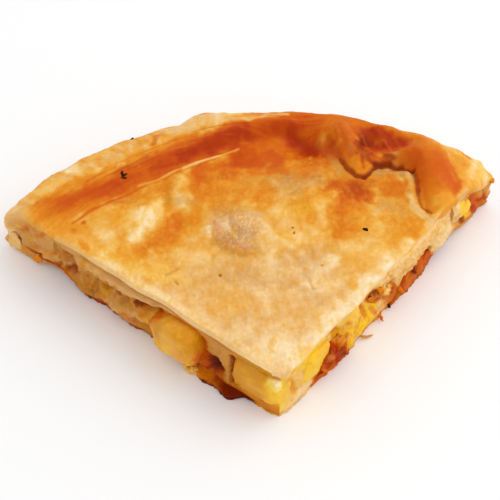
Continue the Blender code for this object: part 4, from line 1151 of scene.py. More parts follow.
        angle = np.tile(bearing, rings)
        mix = np.tile(level, rings)
        high = tip_blunting(spread(upper), angle)
        low = tip_blunting(spread(lower), angle)
        crest = top_surface(high, angle, SHEET_MARKS + BAND_MARKS + LEDGE_MARKS + FOLD_MARKS + SPECKS)
        crest += self.fine_top(high, angle)
        depth = depth_behind_cut(high, angle)
        crest -= self.edge_drop * (1.0 - smooth_step(depth / self.edge_rounding))
        floor = self.underside(spread(lower))
        start = np.where(spread(upper) < ROLL_START, self.underside(spread(upper)), floor)
        crest = start + (crest - start) * spread(share)
        high = self.rim_radius(high, angle, crest, spread(share))
        low = self.rim_radius(low, angle, floor, np.zeros_like(low))
        radius = low + (high - low) * mix
        height = floor + (crest - floor) * mix
        outer_wall = (spread(share) < 1.0) * (spread(upper) >= PAN_RADIUS) * (mix > 0.99)
        noise = Noise(self.seed + 1)
        round_rim = unrolled(angle, height)
        radius += outer_wall * MM * (0.9 * noise(round_rim, (14.0, 1.9, 1.0), 2) - 0.2)
        points = push_cuts(radius, angle, height, (LEFT_RIM, RIGHT_RIM), (LEFT_END, RIGHT_END))
        points = self.rough_walls(points, mix, angle, spread(upper))
        faces = wrapped_faces(rings, around).tolist() + self.lids(rings, around, top, under)
        colour = self.paint(points, radius, angle, height, mix, spread(share), spread(upper))
        return make_piece("top_pastry", points, faces, colour, "golden_crust", ("crust_top",))

    def rough_walls(self, points: np.ndarray, mix: np.ndarray, angle: np.ndarray,
                    upper: np.ndarray) -> np.ndarray:
        """Give the rim's cut ends the small uneven layers of rolled dough.

        Args:
            points: Points of the piece in metres.
            mix: Share of the height between the lower and the upper half of the rings.
            angle: Bearing of each point.
            upper: Upper radius of each point's ring.

        Returns:
            The points, moved along the cut's normal by layered noise that fades out at the wall's borders.
        """
        noise = Noise(self.seed + 2)
        inside = np.clip(4.0 * mix * (1.0 - mix), 0.0, 1.0) ** 0.5 * at_cut(angle)
        inside = inside * smooth_step((upper - ROLL_START) / 0.004)
        rough = 0.9 * noise(points / MM, (7.0, 7.0, 2.2), 2) + 0.4 * noise(points / MM, 1.6)
        push_out(points, MM * rough * inside, np.sign(angle))
        return points

    def lids(self, rings: int, around: int, top: np.ndarray, under: np.ndarray) -> list:
        """Faces that close the first and the last ring, one for each stretch of the underside.

        Args:
            rings: Number of rings.
            around: Number of points in a ring.
            top: Bearings of the points over the top.
            under: Bearings of the points underneath.

        Returns:
            Vertex numbers of each face.
        """
        first_under = len(top) + self.wall_samples
        cuts = np.searchsorted(top, under[::-1])
        cuts[0], cuts[-1] = 0, len(top) - 1
        faces = []
        for base in (0, (rings - 1) * around):
            for number in range(len(under) - 1):
                low_left = first_under + len(under) - 1 - number
                loop = list(range(cuts[number], cuts[number + 1] + 1))
                if number == len(under) - 2:
                    loop += list(range(len(top), first_under))
                loop += [low_left - 1, low_left]
                if number == 0:
                    loop += list(range(first_under + len(under), around))
                faces.append([base + place for place in loop])
        return faces

    def paint(self, points: np.ndarray, radius: np.ndarray, angle: np.ndarray, height: np.ndarray,
              mix: np.ndarray, share: np.ndarray, upper: np.ndarray) -> np.ndarray:
        """Colour of each point: the marks of the top, of both cuts below it and of the rim's outer wall.

        Each noise is read at an offset of its own, so that no two of them look alike.

        Args:
            points: Points of the piece in metres.
            radius: Distance from the tip.
            angle: Bearing.
            height: Height.
            mix: Share of the height between the lower and the upper half of the rings.
            share: Share of the outer wall's height.
            upper: Upper radius of each point's ring.

        Returns:
            Linear colours as rows.
        """
        place = points / MM
        across, ahead = radius * np.sin(angle) / MM, radius * np.cos(angle) / MM
        flat = place * (1, 1, 0)
        top = Painting(across, ahead, flat, SAND, self.seed + 3)
        noise = Noise(self.seed + 4)
        broad = noise(flat, 12.0, 3)
        middling = noise(flat + 31.0, (5.0, 8.0, 1.0), 3)
        fine = noise(flat + 77.0, (1.3, 2.2, 1.0), 3)
        blotches = noise(flat + 61.0, (3.6, 5.2, 1.0), 2)
        baked = smooth_step((radius - 0.045) / 0.05)
        top.blend(PALE, 0.7 * smooth_step(0.3 + 1.3 * broad))
        inner = read_table(BAND_INNER, angle)
        outer = read_table(BAND_OUTER, angle)
        round_rim = unrolled(angle, radius)
        on_slope = smooth_step((radius - outer + 0.004) / 0.006)
        top.lay(SHEET_MARKS[:2])
        top.blend(AMBER, 0.75 * baked * smooth_step(0.1 - 1.7 * broad))
        top.lay(SHEET_MARKS[2:])
        top.blend(PALE, 0.25 * smooth_step(1.2 * middling))
        top.blend(AMBER, 0.32 * (0.2 + 0.8 * baked) * smooth_step(-1.2 * middling))
        top.blend(PALE, 0.16 * smooth_step(2.4 * blotches - 0.2))
        top.blend(AMBER, 0.16 * smooth_step(-2.4 * blotches - 0.2))
        top.blend(CREAM, 0.16 * smooth_step(1.6 * fine))
        top.blend(GREYTAN, 0.1 * smooth_step(-1.6 * fine))
        bubble = Mark((-9, 71), 10.5, long=12.0, edge=0.6).cover(across, ahead)
        # Cream glints on the blister are painted highlights; the rose flecks from the same noise are its
        # colour.
        glints_and_mottle = noise(flat + 19.0, (0.8, 1.2, 1.0), 2)
        top.blend(CREAM, 0.35 * bubble * smooth_step(2.0 * glints_and_mottle - 0.2))
        top.blend(ROSE, 0.3 * bubble * smooth_step(0.4 - 1.6 * glints_and_mottle))
        top.blend(GOLD, on_slope)
        streaks = noise(round_rim + 7.0, (3.2, 9.0, 1.0), 3)
        top.blend(FILM, on_slope * 0.9 * smooth_step(0.1 + 1.5 * streaks))
        top.blend(AMBER, on_slope * 0.6 * smooth_step(-0.1 - 1.6 * streaks))
        top.lay(LEDGE_MARKS)
        top.lay(BAND_MARKS)
        top.lay(FOLD_MARKS)
        on_band = smooth_step((radius - inner + 0.002) / 0.005)
        on_band *= smooth_step((outer + 0.003 - radius) / 0.005)
        on_band *= smooth_step((40.0 - across) / 10.0)
        on_band *= 0.35 + 0.65 * smooth_step((across + 75.0) / 20.0)
        lines = noise(round_rim + 3.0, (20.0, 1.4, 1.0), 3)
        top.blend(BRICK, on_band * 0.35 * smooth_step(1.6 * lines))
        top.blend(GOLD, on_band * 0.22 * smooth_step(-1.6 * lines - 0.1))
        top.lay(SPECKS)
        depth = depth_behind_cut(radius, angle)
        # Along the rounded top edge of the left cut: a pale strip, partly the edge's pale dough and partly a
        # painted highlight along the lit edge, toned grey-tan away from the tip.
        rounded = smooth_step((0.0018 - depth) / 0.0008) * (upper < ROLL_START)
        beyond_tip = smooth_step((radius - 0.012) / 0.012)
        top.blend(PALE, 0.6 * rounded * (angle < 0.0))
        top.blend(GREYTAN, 0.3 * rounded * (angle < 0.0) * beyond_tip)
        uneven = smooth_step(1.2 * noise(flat + 53.0, (9.0, 9.0, 1.0), 2))
        top.blend(PALE, 0.6 * rounded * (angle < 0.0) * uneven)
        colour = top.colour

        walls = Painting(radius / MM, height / MM, place, DOUGH, self.seed + 5)
        layers = noise(place, (9.0, 9.0, 1.6), 3)
        walls.blend(FILM, 0.7 * smooth_step(1.5 * layers))
        walls.blend(ORANGE, 0.6 * smooth_step(-1.5 * layers))
        walls.lay(LEFT_END, (angle < 0.0) * 1.0)
        walls.lay(RIGHT_END, (angle > 0.0) * 1.0)
        sheet = upper < ROLL_START
        edge = Painting(radius / MM, height / MM, place, PALE, self.seed + 6)
        # The sheet's cut edge is grey-tan and sand on the left cut and pale on the right: partly the dough's
        # tone, partly painted shade of the shaded left side.
        edge.blend(GREYTAN, 1.0 * (angle < 0.0))
        edge.blend(SAND, 0.8 * (angle < 0.0) * uneven)
        edge.blend(GOLD, 0.5 * (angle > 0.0) * smooth_step((radius - 0.068) / 0.016))
        edge.blend(AMBER, 0.7 * (angle > 0.0) * smooth_step((radius - 0.096) / 0.008))
        edge.blend(STRAW, 0.6 * (angle > 0.0) * smooth_step((0.024 - radius) / 0.012))
        edge.blend(OCHRE, 0.6 * (angle < 0.0) * smooth_step((0.026 - radius) / 0.012))
        on_wall = at_cut(angle) * (1.0 - smooth_step((mix - 0.8) / 0.2))
        chosen = np.where(sheet[:, None], edge.colour, walls.colour)
        colour = colour + (chosen - colour) * on_wall[:, None]

        rim = Painting(angle * PAN_RADIUS / MM, height / MM, place, GOLD, self.seed + 7)
        bands = noise(unrolled(angle, height), (18.0, 2.2, 1.0), 3)
        rim.blend(FILM, 0.8 * smooth_step(1.5 * bands))
        rim.blend(ORANGE, 0.8 * smooth_step(-1.4 * bands))
        rim.blend(RUSSET, 0.8 * smooth_step(1.0 - height / 0.012 + 0.5 * bands))
        on_rim = (upper >= PAN_RADIUS) * smooth_step((1.0 - share) / 0.25) * (mix > 0.99)
        colour = colour + (rim.colour - colour) * on_rim[:, None]
        below = mix < 0.01
        colour[below] = DOUGH.linear
        return colour


@dataclass
class Filling:
    """Mashed potato and soft dough that run through the slice between the two crusts."""

    stations: int = 300
    across: int = 11
    layers: int = 66
    seed: int = 61

    def build(self) -> bpy.types.Object:
        """Make the filling: a block of lattice points between the base and the sheet.

        Returns:
            The finished piece, standing for filling.
        """
        share, faces = block_skin(self.stations, self.across, self.layers)
        flat_radius = share[:, 0] * ROLL_START
        bearing = (2.0 * share[:, 1] - 1.0) * HALF_ANGLE
        radius = tip_blunting(flat_radius, bearing)
        bottom = base_top(radius, bearing)
        ceiling = TOP_LEVEL - SHEET_THICKNESS
        height = bottom + (ceiling - bottom) * share[:, 2]
        points = push_cuts(radius, bearing, height, (LEFT_FILLING, RIGHT_FILLING), (LEFT_FACE, RIGHT_FACE))
        noise = Noise(self.seed)
        lumps = 0.6 * noise(points / MM, 4.5, 2) + 0.3 * noise(points / MM, 1.5, 2)
        lumps += 1.1 * (0.35 - np.abs(noise(points / MM + 50.0, 3.2, 3)))
        side = np.sign(bearing) * at_cut(bearing)
        inside = np.clip(6.0 * share[:, 2] * (1.0 - share[:, 2]), 0.0, 1.0) * smooth_step(radius / TIP_FADE)
        push_out(points, MM * lumps * inside * np.abs(side), side)
        colour = self.paint(points, radius, bearing, height)
        return make_piece("dough_and_mash", points, faces, colour, "potato_mash", ("filling",))

    def paint(self, points: np.ndarray, radius: np.ndarray, bearing: np.ndarray,
              height: np.ndarray) -> np.ndarray:
        """Colour of each point of both cut faces.

        Args:
            points: Points in metres.
            radius: Distance from the tip.
            bearing: Angle from the middle line.
            height: Height in metres.

        Returns:
            Linear colours as rows.
        """
        place = points / MM
        noise = Noise(self.seed + 1)
        small = noise(place + 9.0, 2.4, 3)
        # The left face is painted in darker tones than the right: partly the filling's own colour, partly
        # painted shade of the shaded left side.
        left = Painting(radius / MM, height / MM, place, MASH, self.seed + 2)
        left.blend(DOUGH, 0.9 * smooth_step(0.4 + 1.5 * noise(place, (8.0, 8.0, 5.0), 2)))
        left.blend(OCHRE, 0.5 * smooth_step(1.6 * small - 0.1))
        left.blend(RUSSET, 0.6 * smooth_step(-1.6 * small - 0.2))
        left.lay(LEFT_FACE)
        right = Painting(radius / MM, height / MM, place, FILM, self.seed + 3)
        right.blend(GOLD, 0.6 * smooth_step(0.2 + 1.5 * noise(place, 6.0, 2)))
        right.blend(PALE, 0.5 * smooth_step(1.6 * small - 0.1))
        right.blend(AMBER, 0.6 * smooth_step(-1.6 * small - 0.2))
        right.lay(RIGHT_FACE)
        share = smooth_step(0.5 + np.degrees(bearing) / 20.0)[:, None]
        return left.colour * (1.0 - share) + right.colour * share


@dataclass
class BaseCrust:
    """The browned sheet below, with its peeled flap and its curled edge."""

    stations: int = 190
    across: int = 60
    layers: int = 7
    seed: int = 71

    def build(self) -> bpy.types.Object:
        """Make the base: a thin block of lattice points.

        Returns:
            The finished piece, standing for crust_bottom.
        """
        share, faces = block_skin(self.stations, self.across, self.layers)
        flat_radius = share[:, 0] * ROLL_START
        turned = np.sign(share[:, 1] - 0.5) * np.abs(2.0 * share[:, 1] - 1.0) ** 0.7
        bearing = turned * HALF_ANGLE
        radius = tip_blunting(flat_radius, bearing)
        bottom = base_underside(radius)
        height = bottom + (base_top(radius, bearing) - bottom) * share[:, 2]
        points = push_cuts(radius, bearing, height, (LEFT_BASE, RIGHT_BASE), ((), ()))
        noise = Noise(self.seed)
        side = np.sign(bearing) * at_cut(bearing)
        rough = 0.7 * noise(points / MM, 5.0, 2) + 0.5 * noise(points / MM, (2.0, 2.0, 1.0), 2)
        push_out(points, MM * rough * np.abs(side) * smooth_step(radius / TIP_FADE), side)
        lift = 0.25 * np.clip(noise(points / MM, 3.0, 2), 0.0, 1.0) * (share[:, 2] < 0.01)
        points[:, 2] += MM * lift
        paint = Painting(radius / MM, points[:, 2] / MM, points / MM, RUSSET, self.seed + 1)
        below = 1.0 - np.abs(side)
        paint.blend(BRICK, below)
        paint.blend(UMBER, below * 0.9 * smooth_step(0.3 + 1.3 * noise(points / MM, 9.0, 2)))
        paint.blend(ORANGE, 0.6 * smooth_step(1.6 * noise(points / MM + 30.0, 4.0, 3) - 0.2))
        paint.blend(BRICK, 0.8 * smooth_step(1.6 * noise(points / MM + 60.0, (2.5, 2.5, 5.0), 3) - 0.1))
        depth = depth_behind_cut(radius, bearing)
        near = smooth_step((0.009 - depth) / 0.003)
        paint.lay(LEFT_BASE_EDGE, near * (bearing < 0.0))
        paint.lay(RIGHT_BASE_EDGE, near * (bearing > 0.0))
        return make_piece("browned_base", points, faces, paint.colour, "browned_crust", ("crust_bottom",))


@dataclass(frozen=True)
class Chunk:
    """Knife-cut piece of potato or onion set behind a cut face.

    Its form is a rounded box whose eight corners are drawn uneven, as in the solids, with fine noise on it.
    """

    name: str
    side: Side
    along: float
    height: float
    depth: float
    size: tuple
    tilt: float
    seed: int
    unevenness: float
    rounding: float
    fill: float
    ground: Tone
    slot: str
    lump: tuple
    marks: tuple = ()
    columns: int = 150
    rows: int = 80

    def build(self) -> bpy.types.Object:
        """Make the piece.

        Returns:
            The finished piece, standing for the node of its name.
        """
        turn = np.linspace(0.0, 2.0 * math.pi, self.columns, endpoint=False)
        lift = np.linspace(-0.5 * math.pi, 0.5 * math.pi, self.rows + 2)[1:-1]
        lift, turn = (grid.ravel() for grid in np.meshgrid(lift, turn, indexing="ij"))

        def power(value: np.ndarray) -> np.ndarray:
            """Value with its size raised to the rounding, so that a circle becomes a rounded square."""
            return np.sign(value) * np.abs(value) ** self.rounding

        unit = np.stack([power(np.cos(lift)) * power(np.cos(turn)), power(np.cos(lift)) * power(np.sin(turn)),
                         power(np.sin(lift))], axis=1)
        unit = np.concatenate([unit, [[0.0, 0.0, -1.0], [0.0, 0.0, 1.0]]]) * 0.5 * self.fill
        draw = np.random.default_rng(self.seed)
        box = np.zeros_like(unit)
        for signs in np.ndindex(2, 2, 2):
            corner = np.array(signs) - 0.5
            weight = np.prod(0.5 + 2.0 * corner * unit, axis=1)
            box += weight[:, None] * (corner + draw.uniform(-self.unevenness, self.unevenness, 3))
        box *= np.array(self.size)
        lean = -self.side.value * math.radians(self.tilt)
        leaned = np.stack([box[:, 0] * math.cos(lean) + box[:, 2] * math.sin(lean), box[:, 1],
                           box[:, 2] * math.cos(lean) - box[:, 0] * math.sin(lean)], axis=1)
        face = self.side.value * (0.5 * math.pi - HALF_ANGLE)
        turned = np.stack([leaned[:, 0] * math.cos(face) - leaned[:, 1] * math.sin(face),
                           leaned[:, 0] * math.sin(face) + leaned[:, 1] * math.cos(face),
                           leaned[:, 2]], axis=1)
        middle = on_face(self.side, self.along, self.depth, self.height)
        points = turned * MM + middle
        outward = points - middle
        outward /= np.linalg.norm(outward, axis=1, keepdims=True)
        noise = Noise(self.seed + 100)
        rough = self.lump[0] * noise(points / MM, self.lump[1], 2) + self.lump[2] * noise(points / MM, 1.4, 2)
        points = points + outward * (MM * rough)[:, None]
        faces = capped_faces(self.rows, self.columns)
        away = self.side.value * points[:, 0] * math.sin(HALF_ANGLE)
        along = (away + (points[:, 1] + ORIGIN_FROM_TIP) * math.cos(HALF_ANGLE)) / MM
        paint = Painting(along, points[:, 2] / MM, points / MM, self.ground, self.seed + 200)
        edges = smooth_step((np.sort(np.abs(unit), axis=1)[:, 1] / self.fill - 0.40) / 0.10)
        paint.blend(OCHRE if self.slot == "potato_flesh" else UMBER, 0.35 * edges)
        paint.lay(self.marks)
        speckle = noise(points / MM + 70.0, 2.6, 3)
        paint.blend(AMBER, 0.25 * smooth_step(1.6 * speckle - 0.15))
        paint.blend(YELLOW if self.slot == "potato_flesh" else UMBER,
                    0.35 * smooth_step(-1.6 * speckle - 0.15))
        return make_piece(self.name + "_cut", points, faces, paint.colour, self.slot, (self.name,))


POTATO = dict(unevenness=0.08, rounding=0.42, fill=0.985, slot="potato_flesh", lump=(0.45, 5.0, 0.22))
ONION = dict(unevenness=0.14, rounding=0.6, fill=0.98, slot="browned_onion", lump=(1.0, 3.6, 0.9))
CHUNKS = (
    # The potatoes on the left cut take an ochre ground and those on the right a yellow one: partly their own
    # colour, partly painted shade of the shaded left side.
    Chunk("potato_tip", Side.LEFT, 10.8, 15.6, 3.2, (20, 11, 17.5), 3, 3, ground=OCHRE, **POTATO, marks=(
        spot(1, 14, 4.5, 13, 0, YELLOW, 0.95), stroke(((3, 25.5), (12, 25), (21, 25)), 2.4, DOUGH, 0.8),
        # The cream spot at the potato's top corner is a painted highlight, set against the shade of the
        # sheet's edge.
        spot(1, 24, 4, 4, 0, CREAM, 0.9), spot(12, 15, 6, 5, 20, GOLD, 0.35),
        stroke(((21.5, 23), (21.5, 6)), 1.3, RUSSET, 0.8),
        stroke(((2, 7), (10, 5.5), (20, 5.5)), 1.6, AMBER, 0.7))),
    Chunk("potato_left", Side.LEFT, 47, 14, 4.6, (25.5, 24, 18.5), -12, 8, ground=OCHRE, **POTATO, marks=(
        spot(48, 13, 11, 12, 0, GOLD, 0.9, 0.8), spot(52, 9, 7, 8, 0, YELLOW, 0.55),
        # The straw spot at (48.5, 14) is a painted highlight on the potato's lit face.
        spot(53, 17, 3.5, 5, 0, MASH, 0.45, 1.2), spot(48.5, 14, 2.5, 7, 0, STRAW, 0.6),
        # Russet strokes on the potato's left and upper edges: painted shade of its shaded sides.
        spot(38, 10, 3, 6, 0, GOLD, 0.5), stroke(((31, 24), (33, 14), (35, 4)), 2.4, RUSSET, 0.95),
        stroke(((37, 26.5), (46, 26.5), (54, 23.5), (58.5, 18)), 1.3, RUSSET, 0.8),
        stroke(((61, 20), (62, 10), (62.5, 0)), 2.4, MASH, 0.9))),
    Chunk("potato_right", Side.RIGHT, 19.3, 14.2, 5.2, (17, 14, 18.5), -20, 5, ground=YELLOW, **POTATO,
          marks=(spot(14, 8, 4, 6, 0, STRAW, 0.7), spot(24, 22, 5, 4, 0, GOLD, 0.4))),
    Chunk("potato_rim", Side.RIGHT, 123, 14.5, 3, (9, 8.5, 8), 20, 7, ground=YELLOW, **POTATO),
    Chunk("onion_near", Side.RIGHT, 34.5, 8.6, 2.6, (20.5, 10, 13.5), -12, 11, ground=BRICK, **ONION, marks=(
        spot(30, 9, 10, 10, 0, DOUGH, 0.45), spot(26, 8, 4, 7, 0, RUSSET, 0.7),
        stroke(((25, 14), (27, 9), (25, 3)), 1.3, BRICK, 0.9), spot(24, 3, 3, 4, 0, ORANGE, 0.8),
        stroke(((29, 17), (31, 9), (33, 0)), 1.8, BRICK, 0.95), stroke(((34, 12), (36, 6)), 1, UMBER, 0.8),
        spot(28, 12, 1.4, 2, 0, GOLD, 0.8), stroke(((31, 18), (37, 12), (44, 3)), 1.6, ORANGE, 0.9),
        # The rose spot at (27, 13) is a painted highlight on the fried onion.
        spot(27, 13, 1.6, 2.4, 0, ROSE, 0.7),
        stroke(((35, 21), (40.5, 14), (46.5, 6)), 4.8, STRAW, 0.95, 0.8), spot(41, 9, 3, 4, 30, YELLOW, 0.8),
        spot(38.5, 15, 1.4, 1, 0, AMBER, 0.8))),
    Chunk("onion_far", Side.RIGHT, 61.5, 17.2, 2, (24, 9, 7), -24, 13, ground=AMBER, **ONION, marks=(
        stroke(((51, 25), (56, 23)), 1.3, UMBER, 0.8), spot(57, 21, 3, 1.6, -30, RUSSET, 0.7),
        # The cream spot at (64, 19.5) and the grey-tan spots at (54, 23.3) and (60, 16) are painted
        # highlights on the onion.
        stroke(((60, 19), (66, 13)), 1, AMBER, 0.9), spot(64, 19.5, 4, 3, -30, CREAM, 0.9),
        spot(54, 23.3, 3, 1.6, -30, GREYTAN, 0.8), spot(60, 16, 1.5, 1, 0, GREYTAN, 0.8),
        spot(70, 14, 2.4, 1.6, -30, RUSSET, 0.8), stroke(((58, 15), (66, 8)), 1.8, AMBER, 0.8),
        spot(67, 13, 2, 3, 20, BRICK, 0.7))),
)


def on_top(x: float, y: float, lift: float = 0.0) -> np.ndarray:
    """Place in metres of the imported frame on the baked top.

    Args:
        x: Distance to the right of the middle line in millimetres.
        y: Distance from the tip along the middle line in millimetres.
        lift: Height above the top in millimetres.

    Returns:
        The three coordinates.
    """
    radius = np.array([math.hypot(x, y)]) * MM
    height = top_surface(radius, np.array([math.atan2(x, y)]), ())[0]
    return np.array([x * MM, y * MM - ORIGIN_FROM_TIP, height + lift * MM])


@dataclass(frozen=True)
class Scrap:
    """Fibre, crumb, flake or seed: a closed spindle between two places, oval across and a little bent.

    A place beside a cut face is given as on_face takes it, and one on the baked top, where the side is None,
    as on_top takes it.
    """

    name: str
    side: Side | None
    start: tuple
    end: tuple
    wide: float
    thin: float
    ground: Tone
    slot: str
    seed: int
    flat: tuple = (0.0, 0.0, 1.0)
    bend: float = 0.12
    blunt: float = 0.6
    rings: int = 26
    around: int = 20

    def build(self) -> bpy.types.Object:
        """Make the scrap.

        Returns:
            The finished piece. Its half widths follow sin(pi * share)^blunt along it.
        """
        start, end = (on_face(self.side, *place) if self.side else on_top(*place)
                      for place in (self.start, self.end))
        axis = end - start
        long = np.linalg.norm(axis)
        axis = axis / long
        thin_way = np.array(self.flat) - axis * np.dot(self.flat, axis)
        thin_way /= np.linalg.norm(thin_way)
        wide_way = np.cross(axis, thin_way)
        share = np.repeat(np.linspace(0.0, 1.0, self.rings + 2)[1:-1], self.around)
        turn = np.tile(np.linspace(0.0, 2.0 * math.pi, self.around, endpoint=False), self.rings)
        size = np.sin(math.pi * share) ** self.blunt * MM
        along = start + (axis * long) * share[:, None]
        along = along + wide_way * (self.bend * long * np.sin(math.pi * share))[:, None]
        points = along + wide_way * (self.wide * size * np.cos(turn))[:, None]
        points = points + thin_way * (self.thin * size * np.sin(turn))[:, None]
        points = np.concatenate([points, [start, end]])
        noise = Noise(self.seed + 300)
        rough = np.stack([noise(points / MM + 30.0 * number, 1.6, 2) for number in range(3)], axis=1)
        points = points + rough * 0.35 * min(self.thin * 2.0, self.wide) * MM
        paint = Painting(points[:, 0] / MM, points[:, 1] / MM, points / MM, self.ground, self.seed + 400)
        speckle = noise(points / MM + 9.0, 1.8, 2)
        paint.blend(AMBER, 0.3 * smooth_step(1.6 * speckle))
        return make_piece(self.name, points, capped_faces(self.rings, self.around), paint.colour, self.slot)


SCRAPS = (
    Scrap("seed_on_sheet", None, (41.2, 66.9, -0.1), (43.4, 65.3, -0.1), 0.75, 0.55, CHAR, "browned_crust",
          1, bend=0, blunt=0.5),
    Scrap("seed_on_band", None, (-52.4, 108, 0.2), (-51.6, 103.8, 0.2), 0.55, 0.5, CHAR, "browned_crust", 2),
    Scrap("seed_on_band_b", None, (-52.9, 105.2, 0.2), (-50.2, 106, 0.2), 0.45, 0.4, CHAR, "browned_crust",
          3),
    Scrap("seed_on_band_c", None, (-53.2, 104.4, 0.1), (-50.4, 104.2, 0.1), 0.35, 0.35, CHAR,
          "browned_crust", 4),
    Scrap("seed_on_rim", None, (-48.8, 131.2, 0.2), (-47.2, 132.6, 0.2), 0.7, 0.55, CHAR, "browned_crust",
          5),
    Scrap("fibre_low", Side.RIGHT, (48.5, 1, 1.6), (53.6, -4.3, 1), 0.55, 0.4, DOUGH, "potato_mash", 6),
    Scrap("fibre_middle", Side.RIGHT, (65, 1, 3.4), (61.6, -3.4, 0.8), 0.75, 0.5, ORANGE, "browned_onion",
          7),
    Scrap("fibre_high", Side.RIGHT, (63, 1, 3), (62.6, -2.6, 1.4), 0.45, 0.35, AMBER, "browned_onion", 8),
    Scrap("herb_bit", Side.RIGHT, (70.2, 0.3, 3), (68.8, -1.6, 1), 0.8, 0.6, CHAR, "browned_onion", 9),
    Scrap("rim_flake", Side.LEFT, (136.6, 0.2, 12.2), (140.6, -0.8, 1.8), 3.4, 0.4, FILM, "golden_crust", 10,
          (0.7, 0.7, 0.3)),
    Scrap("rim_flake_low", Side.LEFT, (124, 0.4, 7.4), (127, -0.6, 1.4), 2, 0.6, AMBER, "golden_crust", 11,
          (0.7, 0.7, 0.3)),
    Scrap("rim_nub", Side.RIGHT, (143, 1, 15.6), (146.6, -0.4, 14.6), 1.3, 1, AMBER, "golden_crust", 12),
    Scrap("potato_crumb", Side.LEFT, (45, 0.2, 2.2), (36.6, -2.8, 1.6), 2.4, 1.4, STRAW, "potato_flesh", 13),
    Scrap("onion_shred", Side.RIGHT, (52, 0.5, 24), (56, -1, 20.4), 1, 0.7, UMBER, "browned_onion", 14),
    Scrap("onion_shred_b", Side.RIGHT, (27.6, 0.8, 19.6), (31, -1.4, 13), 1.2, 0.8, BRICK, "browned_onion",
          15),
    Scrap("onion_shred_c", Side.RIGHT, (23.6, 0.4, 9), (27, -1.6, 3), 1.2, 0.8, ORANGE, "browned_onion", 16),
    Scrap("onion_shred_d", Side.RIGHT, (73.8, 0.5, 10), (78, -1.4, 2.4), 1.2, 0.8, ORANGE, "browned_onion",
          17),
    Scrap("base_spike", Side.RIGHT, (83, 1, 14.6), (86.4, -1.6, 7), 1, 0.7, UMBER, "browned_crust", 18),
)


class Wire:
    """Socket of a material. Arithmetic on it adds Math nodes."""

    def __init__(self, board: "Board", socket: bpy.types.NodeSocket) -> None:
        """Keep the board and the socket."""
        self.board = board
        self.socket = socket

    def join(self, operation: str, first: object, second: object) -> "Wire":
        """Add a Math node on two values or wires."""
        return self.board.node("ShaderNodeMath", {"operation": operation}, {0: first, 1: second})

    def __add__(self, other: object) -> "Wire":
        """This plus another."""
        return self.join("ADD", self, other)

    def __sub__(self, other: object) -> "Wire":
        """This less another."""
        return self.join("SUBTRACT", self, other)

    def __mul__(self, other: object) -> "Wire":
        """This times another."""
        return self.join("MULTIPLY", self, other)

    def __radd__(self, other: object) -> "Wire":
        """Another plus this."""
        return self.join("ADD", other, self)

    def __rsub__(self, other: object) -> "Wire":
        """Another less this."""
        return self.join("SUBTRACT", other, self)

    def __rmul__(self, other: object) -> "Wire":
        """Another times this."""
        return self.join("MULTIPLY", other, self)

    def clamp(self) -> "Wire":
        """This held between 0 and 1."""
        return self.board.node("ShaderNodeClamp", {}, {"Value": self})


class Board:
    """Node tree of one material."""

    def __init__(self, name: str) -> None:
        """Make an empty material with its output."""
        self.material = bpy.data.materials.new(name)
        self.material.use_nodes = True
        self.nodes = self.material.node_tree.nodes
        self.links = self.material.node_tree.links
        self.shader = self.nodes["Principled BSDF"]

    def node(self, kind: str, settings: dict, sockets: dict, output: int | str = 0) -> Wire:
        """Add a node.

        Args:
            kind: Type of the node.
            settings: Properties, which are set first.
            sockets: Values or wires by socket name or number.
            output: Name or number of the output that is wanted.

        Returns:
            The wire of that output.
        """
        made = self.nodes.new(kind)
        for name, value in settings.items():
            setattr(made, name, value)
        for name, value in sockets.items():
            self.feed(made.inputs[name], value)
        return Wire(self, made.outputs[output])

    def feed(self, socket: bpy.types.NodeSocket, value: object) -> None:
        """Link a wire to a socket, or set a value on it."""
        if isinstance(value, Wire):
            self.links.new(value.socket, socket)
        else:
            socket.default_value = value

    def noise(self, size: float, detail: float) -> Wire:
        """Noise between 0 and 1 on the object's own coordinates.

        Args:
            size: Size of the bumps in millimetres.
            detail: Number of finer layers.

        Returns:
            The wire of the noise.
        """
        place = self.node("ShaderNodeTexCoord", {}, {}, "Object")
        return self.node("ShaderNodeTexNoise", {}, {"Vector": place, "Scale": 1.0 / (size * MM),
                                                    "Detail": detail, "Roughness": 0.55}, "Fac")

    def scaled(self, colour: Wire, factor: Wire) -> Wire:
        """Colour times a factor."""
        return self.node("ShaderNodeVectorMath", {"operation": "SCALE"}, {0: colour, "Scale": factor})

    def dress(self, sockets: dict) -> None:
        """Feed the shader's sockets."""
        for name, value in sockets.items():
            self.feed(self.shader.inputs[name], value)


@dataclass(frozen=True)
class FoodFinish:
    """Finish of one food: the painted tone, varied by noise, with fine relief, gloss and light inside."""

    name: str
    roughness: float
    swing: float
    shine: float
    glow: float
    reach: tuple
    mottle: float
    mottle_size: float
    grain_size: float
    grain_depth: float
    crease_size: float
    crease_depth: float

    def make(self) -> bpy.types.Material:
        """Make the material.

        Returns:
            The material. Its colour is tone * (1 + mottle * noise).
        """
        board = Board(self.name)
        tone = board.node("ShaderNodeAttribute", {"attribute_name": "tone"}, {}, "Color")
        broad = board.noise(self.mottle_size, 4.0)
        grain = board.noise(self.grain_size, 3.0)
        crease = board.noise(self.crease_size, 4.0)
        light = 1.0 + (broad - 0.5) * (2.0 * self.mottle) + (grain - 0.5) * self.mottle
        relief = grain * self.grain_depth + crease * self.crease_depth
        bump = {"Height": relief, "Strength": 1.0, "Distance": MM}
        board.dress({
            "Base Color": board.scaled(tone, light),
            "Roughness": (self.roughness + (crease - 0.5) * self.swing).clamp(),
            "Specular IOR Level": self.shine,
            "Subsurface Weight": self.glow,
            "Subsurface Radius": self.reach,
            "Subsurface Scale": MM,
            "Normal": board.node("ShaderNodeBump", {}, bump, "Normal"),
        })
        return board.material


